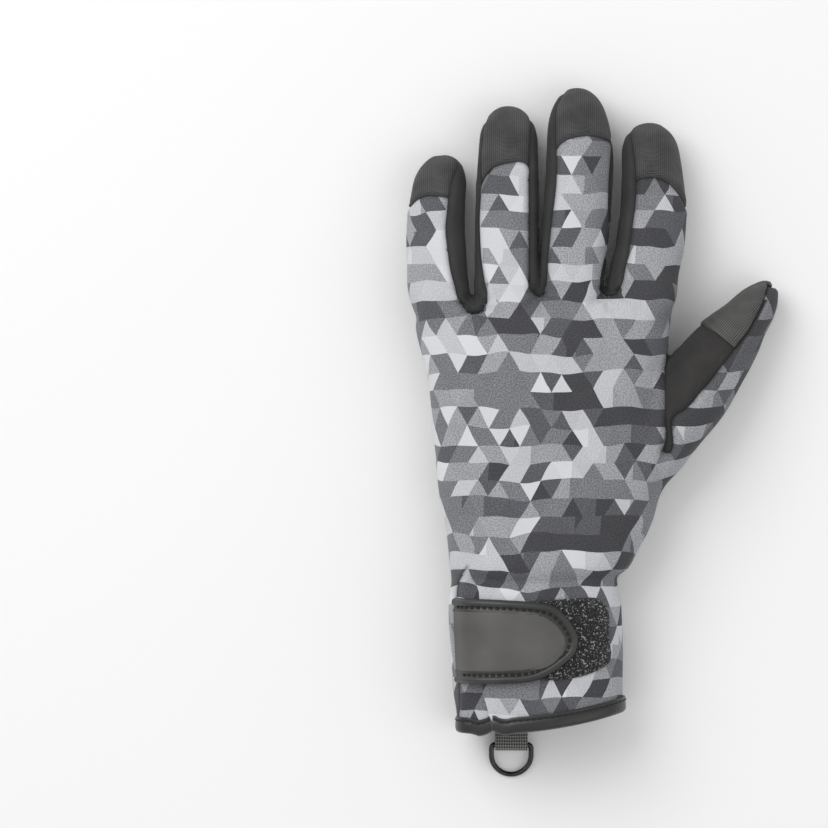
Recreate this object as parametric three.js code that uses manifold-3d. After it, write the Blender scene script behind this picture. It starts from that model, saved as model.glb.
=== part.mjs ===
// A left-hand tropical diving glove, lying palm down on a surface with its cuff open.
// Units are millimetres. +X points to the thumb side, +Y along the fingers, +Z out of the back of the hand.
// The glove is a hollow shell of one wall. Plan outlines part that shell into the sewn panels. Each overlay,
// such as a palm patch, the hem or the strap, is a thinner wall that follows the shell a little above it.
import * as THREE from "three";
import { mergeVertices } from "three/addons/utils/BufferGeometryUtils.js";
import Module from "manifold-3d";

const wasm = await Module();
wasm.setup();

// Driving sizes
const handLength = 168; // hem to the web between the middle fingers
const palmWidth = 101.6; // across the knuckles
const palmThickness = 36.4; // floor to the back of the hand
const webSlope = 0.04; // how much further the web reaches on the thumb side, per millimetre across
const webRound = 15; // length of the rounded end of the palm
const hemSlope = 0.11; // how much higher the hem lies on the thumb side, per millimetre across
const hemEase = 45; // length of cuff over which that slope runs out
const wall = 1.5; // laminated foam cloth
const seamGap = 0.3; // between two panels, and between an overlay and its panel
const patchThickness = 0.8; // grip patches
const gripInset = 0.1; // how far a grip patch stays inside the seam, as a share of a finger's half width
const hemDepth = 4.6; // visible width of the cuff binding
const hemPly = 0.8;
const slitLength = 58; // vent at the little-finger side of the cuff
const slitWidth = 0.7;
const slitLean = 0.32; // slant of the cut, so that one edge laps over the other
const sideHeight = 18; // level of the hand's widest line, which parts its upper seams from its lower ones
const thumbSide = 12; // the same on the thumb
const fingerSide = 20; // the same on the fingers, at their roots
const fingerFall = 0.125; // how much that level falls, per millimetre along a finger
const strapWidth = 32.5;
const strapThickness = 1.9;
const strapMiddle = 32.5; // above the hem
const strapNose = 13.9; // where the strap's round end reaches, across from the hand's middle line
const strapNoseLength = 14;
const strapEnd = 12; // height where the strap is sewn down on the cuff's side
const strapBorder = 4.8;
const strapRim = 0.3; // how far the strap's border stands above its face
const strapFaceThickness = 0.5;
const loopPly = 1.0; // loop half of the closure
const loopWidth = 31.5;
const loopMiddle = 33.7; // above the hem
const loopStart = -8; // the closure's two ends, across from the hand's middle line
const loopEnd = 27.3;
const loopCorner = 7;
const ringWire = 2; // diameter
const ringInside = 13.4; // clear width of the ring along its bar
const ringDepth = 11.8; // from the bar's middle line to that of the bow's far end
const ringCorner = 1.6;
const tabWidth = 12.6;
const tabPly = 1.0;
const tabRise = 0.2; // for the hem's slight curve across the webbing
const tabReach = 6.2; // hem to the ring's bar
const tabSewn = 5; // length sewn inside the cuff
const ringPlace = -0.34; // share of the cuff's half width, from its middle

const sole = patchThickness + seamGap; // height of the bare panels above the surface
const rootDepth = 22; // how far behind the web the finger tubes start, inside the palm
const fingerRoot = handLength - rootDepth;
const roundingSteps = [0, 0.6, 0.92]; // stations on a limb's rounded end
const circleSteps = { palm: 22, finger: 12, thumb: 12, wire: 8, bow: 8 };

// Hand and cuff. along is a share of handLength, middle and half are shares of palmWidth,
// height and rise (half height, and height of the middle) are shares of palmThickness.
const handRows = [
  { along: 0, middle: 0.0, half: 0.313, height: 0.522, rise: 0.495 },
  { along: 0.16, middle: -0.01, half: 0.324, height: 0.533, rise: 0.495 },
  { along: 0.273, middle: -0.019, half: 0.326, height: 0.527, rise: 0.495 },
  { along: 0.331, middle: -0.019, half: 0.314, height: 0.5, rise: 0.48 },
  { along: 0.366, middle: -0.002, half: 0.34, height: 0.511, rise: 0.489 },
  { along: 0.457, middle: 0.031, half: 0.387, height: 0.505, rise: 0.495 },
  { along: 0.526, middle: 0.034, half: 0.415, height: 0.5, rise: 0.495 },
  { along: 0.618, middle: 0.037, half: 0.432, height: 0.495, rise: 0.5 },
  { along: 0.801, middle: 0.023, half: 0.451, height: 0.484, rise: 0.505 },
  { along: 0.892, middle: 0.013, half: 0.479, height: 0.455, rise: 0.495 },
  { along: 1, middle: 0.011, half: 0.5, height: 0.4, rise: 0.45 },
];

// Fingers. place is a share of palmWidth from the hand's middle line at the web. In the rows along is a
// share of length, drift and half are shares of width, height and rise are shares of thickness. capEdge is
// the cap's seam, across as a share of the finger's half width and along as a share of its length.
const fingers = [
  {
    name: "little", place: -0.377, length: 71, width: 23.2, thickness: 21.5, round: 12.5,
    rows: [
      { along: 0.0, drift: 0.25, half: 0.28, height: 0.3, rise: 0.98 },
      { along: 0.22, drift: 0.0, half: 0.487, height: 0.48, rise: 0.95 },
      { along: 0.49, drift: -0.069, half: 0.5, height: 0.5, rise: 0.83 },
      { along: 0.68, drift: -0.073, half: 0.483, height: 0.49, rise: 0.7 },
      { along: 0.82, drift: -0.034, half: 0.457, height: 0.47, rise: 0.6 },
      { along: 1.0, drift: 0.034, half: 0.422, height: 0.44, rise: 0.49 },
    ],
    capEdge: [
      [-1.23, 0.708], [-1.05, 0.746], [-0.73, 0.8], [-0.31, 0.82], [0.39, 0.808], [1.13, 0.794],
    ],
    seamLeft: null, seamRight: 0.42, underSeam: 0.76, tongueShort: 2.7,
    patch: [3.6, 27.6], baseShort: 36,
  },
  {
    name: "ring", place: -0.121, length: 90.2, width: 25.2, thickness: 23.5, round: 14,
    rows: [
      { along: 0.0, drift: 0.0, half: 0.36, height: 0.36, rise: 0.93 },
      { along: 0.173, drift: 0.0, half: 0.496, height: 0.49, rise: 0.9 },
      { along: 0.43, drift: -0.016, half: 0.491, height: 0.49, rise: 0.76 },
      { along: 0.6, drift: -0.008, half: 0.487, height: 0.485, rise: 0.67 },
      { along: 0.81, drift: 0.008, half: 0.46, height: 0.455, rise: 0.55 },
      { along: 1.0, drift: 0.02, half: 0.4, height: 0.42, rise: 0.46 },
    ],
    capEdge: [
      [-1.2, 0.657], [-0.88, 0.7], [-0.54, 0.758], [0, 0.786], [0.38, 0.79], [0.71, 0.773], [1.14, 0.745],
    ],
    seamLeft: -0.83, seamRight: 0.69, underSeam: 0.7, tongueShort: 8.6,
    patch: [9.6, 31.6], baseShort: 49,
  },
  {
    name: "middle", place: 0.11, length: 96.8, width: 26.4, thickness: 24.5, round: 17,
    rows: [
      { along: 0.0, drift: -0.027, half: 0.36, height: 0.36, rise: 0.9 },
      { along: 0.2, drift: 0.008, half: 0.456, height: 0.48, rise: 0.86 },
      { along: 0.4, drift: 0.072, half: 0.485, height: 0.48, rise: 0.77 },
      { along: 0.56, drift: 0.121, half: 0.5, height: 0.478, rise: 0.68 },
      { along: 0.757, drift: 0.155, half: 0.481, height: 0.455, rise: 0.56 },
      { along: 1.0, drift: 0.121, half: 0.4, height: 0.41, rise: 0.44 },
    ],
    capEdge: [
      [-1.09, 0.758], [-0.72, 0.793], [-0.28, 0.829], [0.17, 0.84], [0.67, 0.832], [1.06, 0.814],
      [1.3, 0.79],
    ],
    seamLeft: -0.75, seamRight: 0.9, underSeam: 0.72, tongueShort: 8,
    patch: [9, 37], baseShort: 52,
  },
  {
    name: "index", place: 0.379, length: 83.3, width: 26.8, thickness: 24.5, round: 12.5,
    rows: [
      { along: 0.0, drift: -0.2, half: 0.3, height: 0.3, rise: 0.88 },
      { along: 0.187, drift: 0.0, half: 0.5, height: 0.48, rise: 0.83 },
      { along: 0.33, drift: 0.071, half: 0.496, height: 0.48, rise: 0.76 },
      { along: 0.465, drift: 0.149, half: 0.489, height: 0.478, rise: 0.68 },
      { along: 0.648, drift: 0.201, half: 0.474, height: 0.46, rise: 0.585 },
      { along: 0.88, drift: 0.172, half: 0.418, height: 0.43, rise: 0.48 },
      { along: 1.0, drift: 0.146, half: 0.366, height: 0.4, rise: 0.44 },
    ],
    capEdge: [
      [-1.12, 0.737], [-0.58, 0.767], [-0.16, 0.783], [0.26, 0.777], [0.69, 0.732], [0.97, 0.653],
      [1.23, 0.593],
    ],
    seamLeft: -0.63, seamRight: null, underSeam: 0.76, tongueShort: 2.6,
    patch: [3.4, 30.6], baseShort: 40,
  },
];

// Thumb. It leaves the palm at a heading from +Y towards +X, in degrees.
const thumb = {
  name: "thumb", rootAcross: 0.284, rootAlong: 0.573, heading: 39.9, length: 93, width: 29.8, thickness: 29,
  round: 14,
  rows: [
    { along: 0.0, drift: 0.134, half: 0.42, height: 0.44, rise: 0.6 },
    { along: 0.16, drift: 0.168, half: 0.426, height: 0.48, rise: 0.6 },
    { along: 0.32, drift: 0.134, half: 0.46, height: 0.5, rise: 0.6 },
    { along: 0.473, drift: 0.092, half: 0.5, height: 0.475, rise: 0.57 },
    { along: 0.645, drift: 0.045, half: 0.458, height: 0.42, rise: 0.5 },
    { along: 0.774, drift: 0.04, half: 0.372, height: 0.385, rise: 0.445 },
    { along: 0.85, drift: 0.042, half: 0.312, height: 0.35, rise: 0.405 },
    { along: 1.0, drift: 0.05, half: 0.19, height: 0.27, rise: 0.33 },
  ],
  seamAbove: 0.26, seamBelow: -0.5, patchStart: 0.69,
};

// Webs between neighbouring fingers. dip is how far the side strip's seam dips behind the web.
const webs = [
  { left: "little", right: "ring", dip: 8.6 },
  { left: "ring", right: "middle", dip: 4 },
  { left: "middle", right: "index", dip: 3.4 },
];

// Places on the hand, seen from above. along is a share of handLength, across one of the half width there.
const palmPatchEdge = [
  { along: 0.923, across: 0.93 }, { along: 0.857, across: 0.95 }, { along: 0.767, across: 0.87 },
  { along: 0.754, across: 0.736 }, { along: 0.739, across: 0.566 }, { along: 0.705, across: 0.433 },
  { along: 0.659, across: 0.32 }, { along: 0.601, across: 0.274 }, { along: 0.615, across: -0.06 },
  { along: 0.633, across: -0.41 }, { along: 0.657, across: -0.75 }, { along: 0.683, across: -0.93 },
  { along: 0.795, across: -0.93 }, { along: 0.923, across: -0.93 },
];
const radialSeam = [
  { along: -0.05, across: 0.46 }, { along: 0.079, across: 0.5 }, { along: 0.273, across: 0.58 },
  { along: 0.365, across: 0.675 }, { along: 0.498, across: 0.705 }, { along: 0.573, across: 0.758 },
  { along: 0.642, across: 0.84 },
];
const thumbPanelEdge = [
  { along: 0.826, across: 1.06 }, { along: 0.805, across: 0.93 }, { along: 0.751, across: 0.85 },
  { along: 0.739, across: 0.73 }, { along: 0.724, across: 0.56 }, { along: 0.69, across: 0.42 },
  { along: 0.644, across: 0.3 }, { along: 0.585, across: 0.25 }, { along: 0.386, across: 0.34 },
];
// Where the back's cloth turns under, on the little-finger side
const ulnarSeam = [
  { along: 0.985, across: -0.764 }, { along: 0.9, across: -0.955 }, { along: 0.8, across: -0.955 },
  { along: 0.68, across: -0.955 }, { along: 0.55, across: -0.955 }, { along: 0.4, across: -0.955 },
  { along: 0.2, across: -0.955 }, { along: -0.05, across: -0.955 },
];
// The same on the side of the index finger, past the thumb
const indexSeam = [
  { along: 0.75, across: 0.93 }, { along: 0.85, across: 0.95 }, { along: 0.93, across: 0.9 },
  { along: 0.97, across: 0.6 },
];
const thumbNotchAbove = [
  { along: 0.818, across: 0.975 }, { along: 0.744, across: 0.965 }, { along: 0.693, across: 0.97 },
];
const slitFoot = { along: -0.06, across: -0.53 }; // where the vent runs out past the hem, and its head
const slitHead = { along: slitLength / handLength, across: -0.66 };

// Curves through table rows
function rowValue(rows, key, t) {
  let i = 0;
  while (i < rows.length - 2 && t > rows[i + 1].along) i++;
  const a = rows[i];
  const b = rows[i + 1];
  const before = rows[Math.max(i - 1, 0)];
  const after = rows[Math.min(i + 2, rows.length - 1)];
  const span = b.along - a.along;
  const slopeA = before === a ? (b[key] - a[key]) / span : (b[key] - before[key]) / (b.along - before.along);
  const slopeB = after === b ? (b[key] - a[key]) / span : (after[key] - a[key]) / (after.along - a.along);
  const u = Math.min(Math.max((t - a.along) / span, 0), 1);
  const u2 = u * u;
  const u3 = u2 * u;
  return (
    a[key] * (2 * u3 - 3 * u2 + 1) + slopeA * span * (u3 - 2 * u2 + u) +
    b[key] * (3 * u2 - 2 * u3) + slopeB * span * (u3 - u2)
  );
}

// A limb is a tube of oval sections along a straight heading, with a rounded far end.
const hand = {
  x: 0, y: 0, heading: 0, length: handLength, width: palmWidth, thickness: palmThickness, round: webRound,
  rows: handRows, power: 2.45, steps: circleSteps.palm, slope: webSlope, rootSlope: hemSlope,
  driftKey: "middle",
};

function fingerLimb(finger) {
  return {
    ...finger, x: finger.place * palmWidth, y: fingerRoot, heading: 0, power: 2.35,
    steps: circleSteps.finger, slope: 0, rootSlope: 0, driftKey: "drift",
  };
}

const thumbLimb = {
  ...thumb, x: thumb.rootAcross * palmWidth, y: thumb.rootAlong * handLength, power: 2.3,
  steps: circleSteps.thumb, slope: 0, rootSlope: 0, driftKey: "drift",
};

const fingerLimbs = fingers.map(fingerLimb);
const limbs = [hand, ...fingerLimbs, thumbLimb];
const limbNamed = Object.fromEntries(fingerLimbs.map((limb) => [limb.name, limb]));

const tipPower = 2.2;

function tipScale(limb, along, offset) {
  const share = (along - (limb.length - limb.round)) / (limb.round + offset);
  return share <= 0 ? 1 : Math.pow(Math.max(1 - Math.pow(share, tipPower), 0), 1 / tipPower);
}

// Size and middle of a limb's section, along millimetres from its root
function sectionAt(limb, along) {
  const t = along / limb.length;
  return {
    middle: rowValue(limb.rows, limb.driftKey, t) * limb.width,
    half: rowValue(limb.rows, "half", t) * limb.width,
    height: rowValue(limb.rows, "height", t) * limb.thickness,
    rise: rowValue(limb.rows, "rise", t) * limb.thickness,
  };
}

function planPoint(limb, along, across) {
  const turn = THREE.MathUtils.degToRad(limb.heading);
  const slant =
    limb.slope * across * Math.max(along / limb.length, 0) ** 2 +
    limb.rootSlope * across * Math.max(1 - Math.max(along, 0) / hemEase, 0);
  return new THREE.Vector2(
    limb.x + along * Math.sin(turn) + across * Math.cos(turn),
    limb.y + along * Math.cos(turn) - across * Math.sin(turn) + slant,
  );
}

function surfacePoint(limb, along, angle, offset) {
  const s = sectionAt(limb, along);
  const scale = tipScale(limb, along, offset);
  const c = Math.cos(angle);
  const n = Math.sin(angle);
  const across = s.middle + Math.sign(c) * Math.abs(c) ** (2 / limb.power) * (s.half + offset) * scale;
  const up = s.rise + Math.sign(n) * Math.abs(n) ** (2 / limb.power) * (s.height + offset) * scale;
  const plan = planPoint(limb, along, across);
  return new THREE.Vector3(plan.x, plan.y, Math.max(up, sole - offset));
}

// Closed solids from rings of points, outward when the rings turn right-handed about their path
function manifoldOf(geometry) {
  geometry.deleteAttribute("normal");
  geometry.deleteAttribute("uv");
  const merged = mergeVertices(geometry, 1e-4);
  const made = new wasm.Manifold(
    new wasm.Mesh({
      numProp: 3,
      vertProperties: new Float32Array(merged.attributes.position.array),
      triVerts: new Uint32Array(merged.index.array),
    }),
  );
  return made;
}

function geometryOf(points, faces) {
  const geometry = new THREE.BufferGeometry().setFromPoints(points);
  geometry.setIndex(faces);
  return geometry;
}

function ringSolid(rings) {
  const count = rings[0].length;
  const points = rings.flat();
  const faces = [];
  rings.slice(1).forEach((_, r) => {
    for (let i = 0; i < count; i++) {
      const j = (i + 1) % count;
      const a = r * count + i;
      const b = r * count + j;
      faces.push(a, b, b + count, a, b + count, a + count);
    }
  });
  [rings[0], rings.at(-1)].forEach((ring, end) => {
    const middle = ring.reduce((sum, p) => sum.add(p), new THREE.Vector3()).divideScalar(count);
    points.push(middle);
    const start = end ? (rings.length - 1) * count : 0;
    for (let i = 0; i < count; i++) {
      const j = (i + 1) % count;
      faces.push(points.length - 1, end ? start + i : start + j, end ? start + j : start + i);
    }
  });
  return manifoldOf(geometryOf(points, faces));
}

function limbSolid(limb, offset, from = 0) {
  const shoulder = limb.length - limb.round;
  const straight = limb.rows.map((row) => row.along * limb.length).filter((a) => a > from && a < shoulder);
  const rounding = roundingSteps.map((s) => shoulder + s * (limb.round + offset));
  const stations = [...new Set([from, ...straight, ...rounding])];
  return ringSolid(
    stations.map((along) =>
      Array.from({ length: limb.steps }, (_, i) => {
        const angle = (-2 * Math.PI * (i + 0.5)) / limb.steps;
        return surfacePoint(limb, along, angle, offset);
      }),
    ),
  );
}

function gloveSolid(offset, handFrom = 0) {
  return limbs
    .map((limb) => limbSolid(limb, offset, limb === hand ? handFrom : 0))
    .reduce((sum, solid) => sum.add(solid));
}

// Upright blocks on a plan outline
function prism(outline, low, high, spread = 0) {
  const shape = new THREE.Shape(spread ? grown(outline, spread) : outline);
  const geometry = new THREE.ExtrudeGeometry(shape, { depth: 1, bevelEnabled: false });
  const spots = geometry.attributes.position;
  const level = (height, y) => (typeof height === "function" ? height(y) : height);
  for (let i = 0; i < spots.count; i++) {
    const top = spots.getZ(i) > 0.5;
    spots.setZ(i, level(top ? high : low, spots.getY(i)) + (top ? spread : -spread));
  }
  return manifoldOf(geometry);
}

// The level that parts the upper seams of the fingers from the lower ones, and the foot of the blocks above
// it, which reach into those below
function besideFingers(y) {
  return fingerSide - fingerFall * (y - fingerRoot);
}

function fingersUpwards(y) {
  return besideFingers(y) - blockLap;
}

function grown(outline, by) {
  const turn = THREE.ShapeUtils.area(outline) > 0 ? 1 : -1;
  return outline.map((p, i) => {
    const before = outline[(i + outline.length - 1) % outline.length];
    const after = outline[(i + 1) % outline.length];
    const a = p.clone().sub(before).normalize();
    const b = after.clone().sub(p).normalize();
    const normal = new THREE.Vector2(a.y + b.y, -a.x - b.x).normalize();
    const reach = by / Math.max(normal.dot(new THREE.Vector2(a.y, -a.x)), 0.5);
    return p.clone().addScaledVector(normal, turn * reach);
  });
}

const below = -5;
const above = palmThickness + 20;
const beyond = 12; // how far a cutting outline runs past the cloth that it parts
const tongueStart = 0.1; // where the palm's cloth and patch reach on to a finger, as shares of its length
const patchStart = 0.08;
const capReach = 1.5; // the same to either side of a fingertip, as a share of its half width
const blockLap = 0.4; // how far two cutting blocks that are joined run into each other

function handSpot(spot) {
  const along = spot.along * handLength;
  const s = sectionAt(hand, along);
  return planPoint(hand, along, s.middle + spot.across * s.half);
}

function limbSpot(limb, along, across) {
  const s = sectionAt(limb, along);
  const half = s.half * tipScale(limb, Math.min(along, limb.length), 0);
  return planPoint(limb, along, s.middle + across * half);
}

// Seam line up one finger, at a share of its half width, from the web to the fingertip
const seamSteps = [0.3, 0.5, 0.7, 0.85, 0.95];

function seamUp(limb, across) {
  return seamSteps.map((t) => limbSpot(limb, t * limb.length, across));
}

function tipPoint(limb, past) {
  const s = sectionAt(limb, limb.length);
  return planPoint(limb, limb.length + past, s.middle);
}

// The strip between two fingers, seen from above: up one seam, over the tips' gap and down the other
function webOutlineAbove(web) {
  const left = limbNamed[web.left];
  const right = limbNamed[web.right];
  const a = seamUp(left, left.seamRight);
  const b = seamUp(right, right.seamLeft);
  const rootStep = seamSteps[0];
  const edges = [limbSpot(left, rootStep * left.length, 1), limbSpot(right, rootStep * right.length, -1)];
  const foot = edges[0].add(edges[1]).multiplyScalar(0.5);
  foot.y = handLength + webSlope * foot.x - web.dip;
  const towards = (end, t) =>
    new THREE.Vector2(foot.x + t * (end.x - foot.x), foot.y + t * t * (end.y - foot.y));
  return [
    towards(a[0], 0.7), towards(a[0], 0.35), foot, towards(b[0], 0.35), towards(b[0], 0.7),
    ...b, tipPoint(right, beyond), tipPoint(left, beyond), ...a.reverse(),
  ];
}

// The same strip from below: everything between the two fingers' middle lines that the palm leaves
function webOutlineBelow(web) {
  const left = limbNamed[web.left];
  const right = limbNamed[web.right];
  const root = 0.16;
  return [
    limbSpot(left, root * left.length, 0), limbSpot(right, root * right.length, 0),
    ...seamUp(right, 0), tipPoint(right, beyond), tipPoint(left, beyond), ...seamUp(left, 0).reverse(),
  ];
}

// A finger's palm side: a tongue with a round end
function tongue(limb, short, across, from) {
  const end = limb.length - short;
  const round = limb.width * across * 0.5;
  const steps = [from, (from + end - round) / 2, end - round];
  const side = (sign) => steps.map((along) => limbSpot(limb, along, sign * across));
  const s = sectionAt(limb, end - round);
  const arc = [30, 60, 90, 120, 150].map((angle) => {
    const t = THREE.MathUtils.degToRad(angle);
    return planPoint(limb, end - round + round * Math.sin(t), s.middle + across * s.half * Math.cos(t));
  });
  return [...side(1), ...arc, ...side(-1).reverse()];
}

function palmOutline() {
  return [...ulnarSeam, ...radialSeam, ...indexSeam].map(handSpot);
}

// Clear of the thumb on the side of the fingers, from its tip to the web
function thumbOutside() {
  return [1.05, 0.9, 0.7, 0.52].map((t) => {
    const s = sectionAt(thumbLimb, Math.min(t, 1) * thumbLimb.length);
    return planPoint(thumbLimb, t * thumbLimb.length, s.middle - s.half - 2);
  });
}

function thumbOutlineAbove() {
  const steps = [0.28, 0.36, 0.5, 0.65, 0.8, 0.9, 0.97];
  const seam = steps.map((t) => limbSpot(thumbLimb, t * thumbLimb.length, thumb.seamAbove));
  return [...seam, tipPoint(thumbLimb, beyond), ...thumbOutside(), ...thumbNotchAbove.map(handSpot)];
}

function thumbOutlineBelow() {
  const steps = [0.22, 0.36, 0.5, 0.65, 0.8, 0.9, 0.97];
  const seam = steps.map((t) => limbSpot(thumbLimb, t * thumbLimb.length, thumb.seamBelow));
  const wrist = radialSeam.slice(3).map(handSpot);
  const past = tipPoint(thumbLimb, beyond);
  return [...wrist, ...seam, past, ...thumbOutside(), ...thumbPanelEdge.map(handSpot)];
}

// One mesh per piece
const glove = new THREE.Group();

function largest(solid) {
  return solid.decompose().sort((a, b) => b.volume() - a.volume())[0];
}

const finest = 0.01; // vertices lie on a lattice of this pitch, so that no sliver is thinner

function geometryFrom(solid) {
  const mesh = solid.getMesh();
  const points = Array.from({ length: mesh.numVert }, (_, i) =>
    new THREE.Vector3().fromArray(mesh.vertProperties, i * mesh.numProp),
  );
  return geometryOf(points, Array.from(mesh.triVerts));
}

function meshOf(name, solid, material) {
  const rough = geometryFrom(solid);
  rough.setFromPoints(
    Array.from({ length: rough.attributes.position.count }, (_, i) =>
      new THREE.Vector3().fromBufferAttribute(rough.attributes.position, i).divideScalar(finest).round()
        .multiplyScalar(finest),
    ),
  );
  const geometry = geometryFrom(largest(manifoldOf(rough)));
  geometry.computeVertexNormals();
  const made = new THREE.Mesh(geometry, material);
  made.name = name;
  glove.add(made);
  return made;
}

function finish(color, roughness, metalness = 0) {
  return new THREE.MeshStandardMaterial({ color, roughness, metalness });
}

const printedCloth = finish(0x9a9b9f, 0.85);
const suede = finish(0x2e2d2d, 0.9);
const stripCloth = finish(0x353535, 0.8);
const ribbedCloth = finish(0x3a3a3a, 0.8);
const gripWeave = finish(0x6d6d6b, 0.55);
const coatedBinding = finish(0x3d3d3c, 0.45);
const mouldedStrap = finish(0x676766, 0.5);
const strapFilm = finish(0x5c5b59, 0.4);
const loopPile = finish(0x1b1b1b, 0.95);
const webbing = finish(0x5a5a58, 0.8);
const gunmetal = finish(0x2a2a2c, 0.25, 1);

// Hollow shell with the vent cut into its cuff
const hollow = gloveSolid(-wall, -beyond);
const outside = gloveSolid(0);

function slitCutter(wide) {
  const foot = handSpot(slitFoot);
  const head = handSpot(slitHead);
  const way = head.clone().sub(foot).normalize();
  const side = new THREE.Vector2(way.y, -way.x).multiplyScalar(wide / 2);
  const levels = [palmThickness * 0.6, above];
  const corners = [
    foot.clone().sub(side), foot.clone().add(side), head.clone().add(side), head.clone().sub(side),
  ];
  return ringSolid(
    levels.map((z) => corners.map((p) => new THREE.Vector3(p.x + (z - palmThickness) * slitLean, p.y, z))),
  );
}

let cloth = outside.subtract(hollow).subtract(slitCutter(slitWidth));

// Each panel takes its region of the shell, and the seam gap round it comes out of what is left
function claim(name, regions, material) {
  const region = regions.map(([outline, low, high]) => prism(outline, low, high)).reduce((a, b) => a.add(b));
  const wide = regions
    .map(([outline, low, high]) => prism(outline, low, high, seamGap))
    .reduce((a, b) => a.add(b));
  meshOf(name, largest(cloth.intersect(region)), material);
  cloth = cloth.subtract(wide);
}

const tongues = fingerLimbs.map((limb) =>
  tongue(limb, limb.tongueShort, limb.underSeam, tongueStart * limb.length),
);
claim(
  "palm_panel",
  [[palmOutline(), below, sideHeight], ...tongues.map((outline) => [outline, below, besideFingers])],
  suede,
);
claim(
  "thumb_panel",
  [[thumbOutlineAbove(), thumbSide - blockLap, above], [thumbOutlineBelow(), below, thumbSide]],
  suede,
);
webs.forEach((web) =>
  claim(
    `side_strip_${web.left}_${web.right}`,
    [[webOutlineAbove(web), fingersUpwards, above], [webOutlineBelow(web), below, besideFingers]],
    stripCloth,
  ),
);
fingerLimbs.forEach((limb) => {
  const edge = limb.capEdge.map(([across, along]) => {
    const s = sectionAt(limb, along * limb.length);
    return planPoint(limb, along * limb.length, s.middle + across * s.half);
  });
  const tip = sectionAt(limb, limb.length);
  const wide = capReach * tip.half;
  const far = [wide, -wide].map((w) => planPoint(limb, limb.length + beyond, tip.middle + w));
  const outline = [...edge, ...far];
  claim(`cap_${limb.name}`, [[outline, below, above]], ribbedCloth);
});
meshOf("back_panel", largest(cloth), printedCloth);

// Overlays: walls that lie a seam gap off the panels
function skin(parts, inner, outer, start = 0) {
  const bodyOf = (offset) =>
    parts
      .map((limb) => limbSolid(limb, offset, limb === hand ? start : 0))
      .reduce((sum, solid) => sum.add(solid));
  return bodyOf(outer).subtract(bodyOf(inner));
}

function overlay(name, parts, regions, material, inner = seamGap, thickness = patchThickness) {
  const region = regions.map(([outline, low, high]) => prism(outline, low, high)).reduce((a, b) => a.add(b));
  return meshOf(name, largest(skin(parts, inner, inner + thickness).intersect(region)), material);
}

const baseTongues = fingerLimbs.map((limb) =>
  tongue(limb, limb.baseShort, limb.underSeam - gripInset, patchStart * limb.length),
);
overlay(
  "palm_patch",
  [hand, ...fingerLimbs],
  [
    [palmPatchEdge.map(handSpot), below, sideHeight],
    ...baseTongues.map((outline) => [outline, below, besideFingers]),
  ],
  gripWeave,
);
fingerLimbs.forEach((limb) => {
  const outline = tongue(limb, limb.patch[0], limb.underSeam - gripInset, limb.length - limb.patch[1]);
  overlay(`grip_${limb.name}`, [limb], [[outline, below, besideFingers]], gripWeave);
});

const thumbTip = prism(
  [
    planPoint(thumbLimb, thumb.patchStart * thumb.length, -thumb.width),
    planPoint(thumbLimb, thumb.patchStart * thumb.length, thumb.width),
    planPoint(thumbLimb, thumb.length + beyond, thumb.width),
    planPoint(thumbLimb, thumb.length + beyond, -thumb.width),
  ],
  below,
  above,
);
const thumbInner = prism(thumbOutlineAbove(), thumbSide - blockLap, above).add(
  prism(thumbOutlineBelow(), below, thumbSide),
);
meshOf(
  "grip_thumb",
  largest(skin([thumbLimb], seamGap, seamGap + patchThickness).intersect(thumbTip).intersect(thumbInner)),
  gripWeave,
);

// Closure on the back of the cuff
function upTo(x, y) {
  return new THREE.Vector2(x, y + hemSlope * x * Math.max(1 - y / hemEase, 0));
}

function loopOutline() {
  const top = loopMiddle + loopWidth / 2;
  const bottom = loopMiddle - loopWidth / 2;
  const corner = (x, y, from) =>
    [0, 30, 60, 90].map((a) => {
      const t = THREE.MathUtils.degToRad(from + a);
      return upTo(x + loopCorner * Math.cos(t), y + loopCorner * Math.sin(t));
    });
  return [
    upTo(loopStart, bottom), ...corner(loopEnd - loopCorner, bottom + loopCorner, -90),
    ...corner(loopEnd - loopCorner, top - loopCorner, 0), upTo(loopStart, top),
  ];
}

function strapOutline(inset) {
  const half = strapWidth / 2 - inset;
  const length = strapNoseLength - inset;
  const start = -palmWidth / 2;
  const nose = [-80, -60, -40, -20, 0, 20, 40, 60, 80].map((a) => {
    const t = THREE.MathUtils.degToRad(a);
    const x = strapNose - strapNoseLength + length * Math.cos(t) ** 0.9;
    return new THREE.Vector2(x, strapMiddle + half * Math.sign(t) * Math.abs(Math.sin(t)) ** 0.9);
  });
  return [
    new THREE.Vector2(start, strapMiddle - half), ...nose, new THREE.Vector2(start, strapMiddle + half),
  ];
}

overlay("loop_patch", [hand], [[loopOutline(), palmThickness / 2, above]], loopPile, seamGap, loopPly);

const strapBase = seamGap + loopPly + seamGap;
const strapTop = strapBase + strapThickness;
const faceBottom = strapTop - strapRim - strapFaceThickness;
const strapRecess = skin([hand], faceBottom - seamGap, strapTop + strapRim).intersect(
  prism(strapOutline(strapBorder - seamGap), palmThickness / 2, above),
);
const strapBody = skin([hand], strapBase, strapTop).intersect(prism(strapOutline(0), strapEnd, above));
meshOf("strap", largest(strapBody.subtract(strapRecess)), mouldedStrap);
overlay(
  "strap_face",
  [hand],
  [[strapOutline(strapBorder), palmThickness / 2 + seamGap, above]],
  strapFilm,
  faceBottom,
  strapFaceThickness,
);

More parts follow.
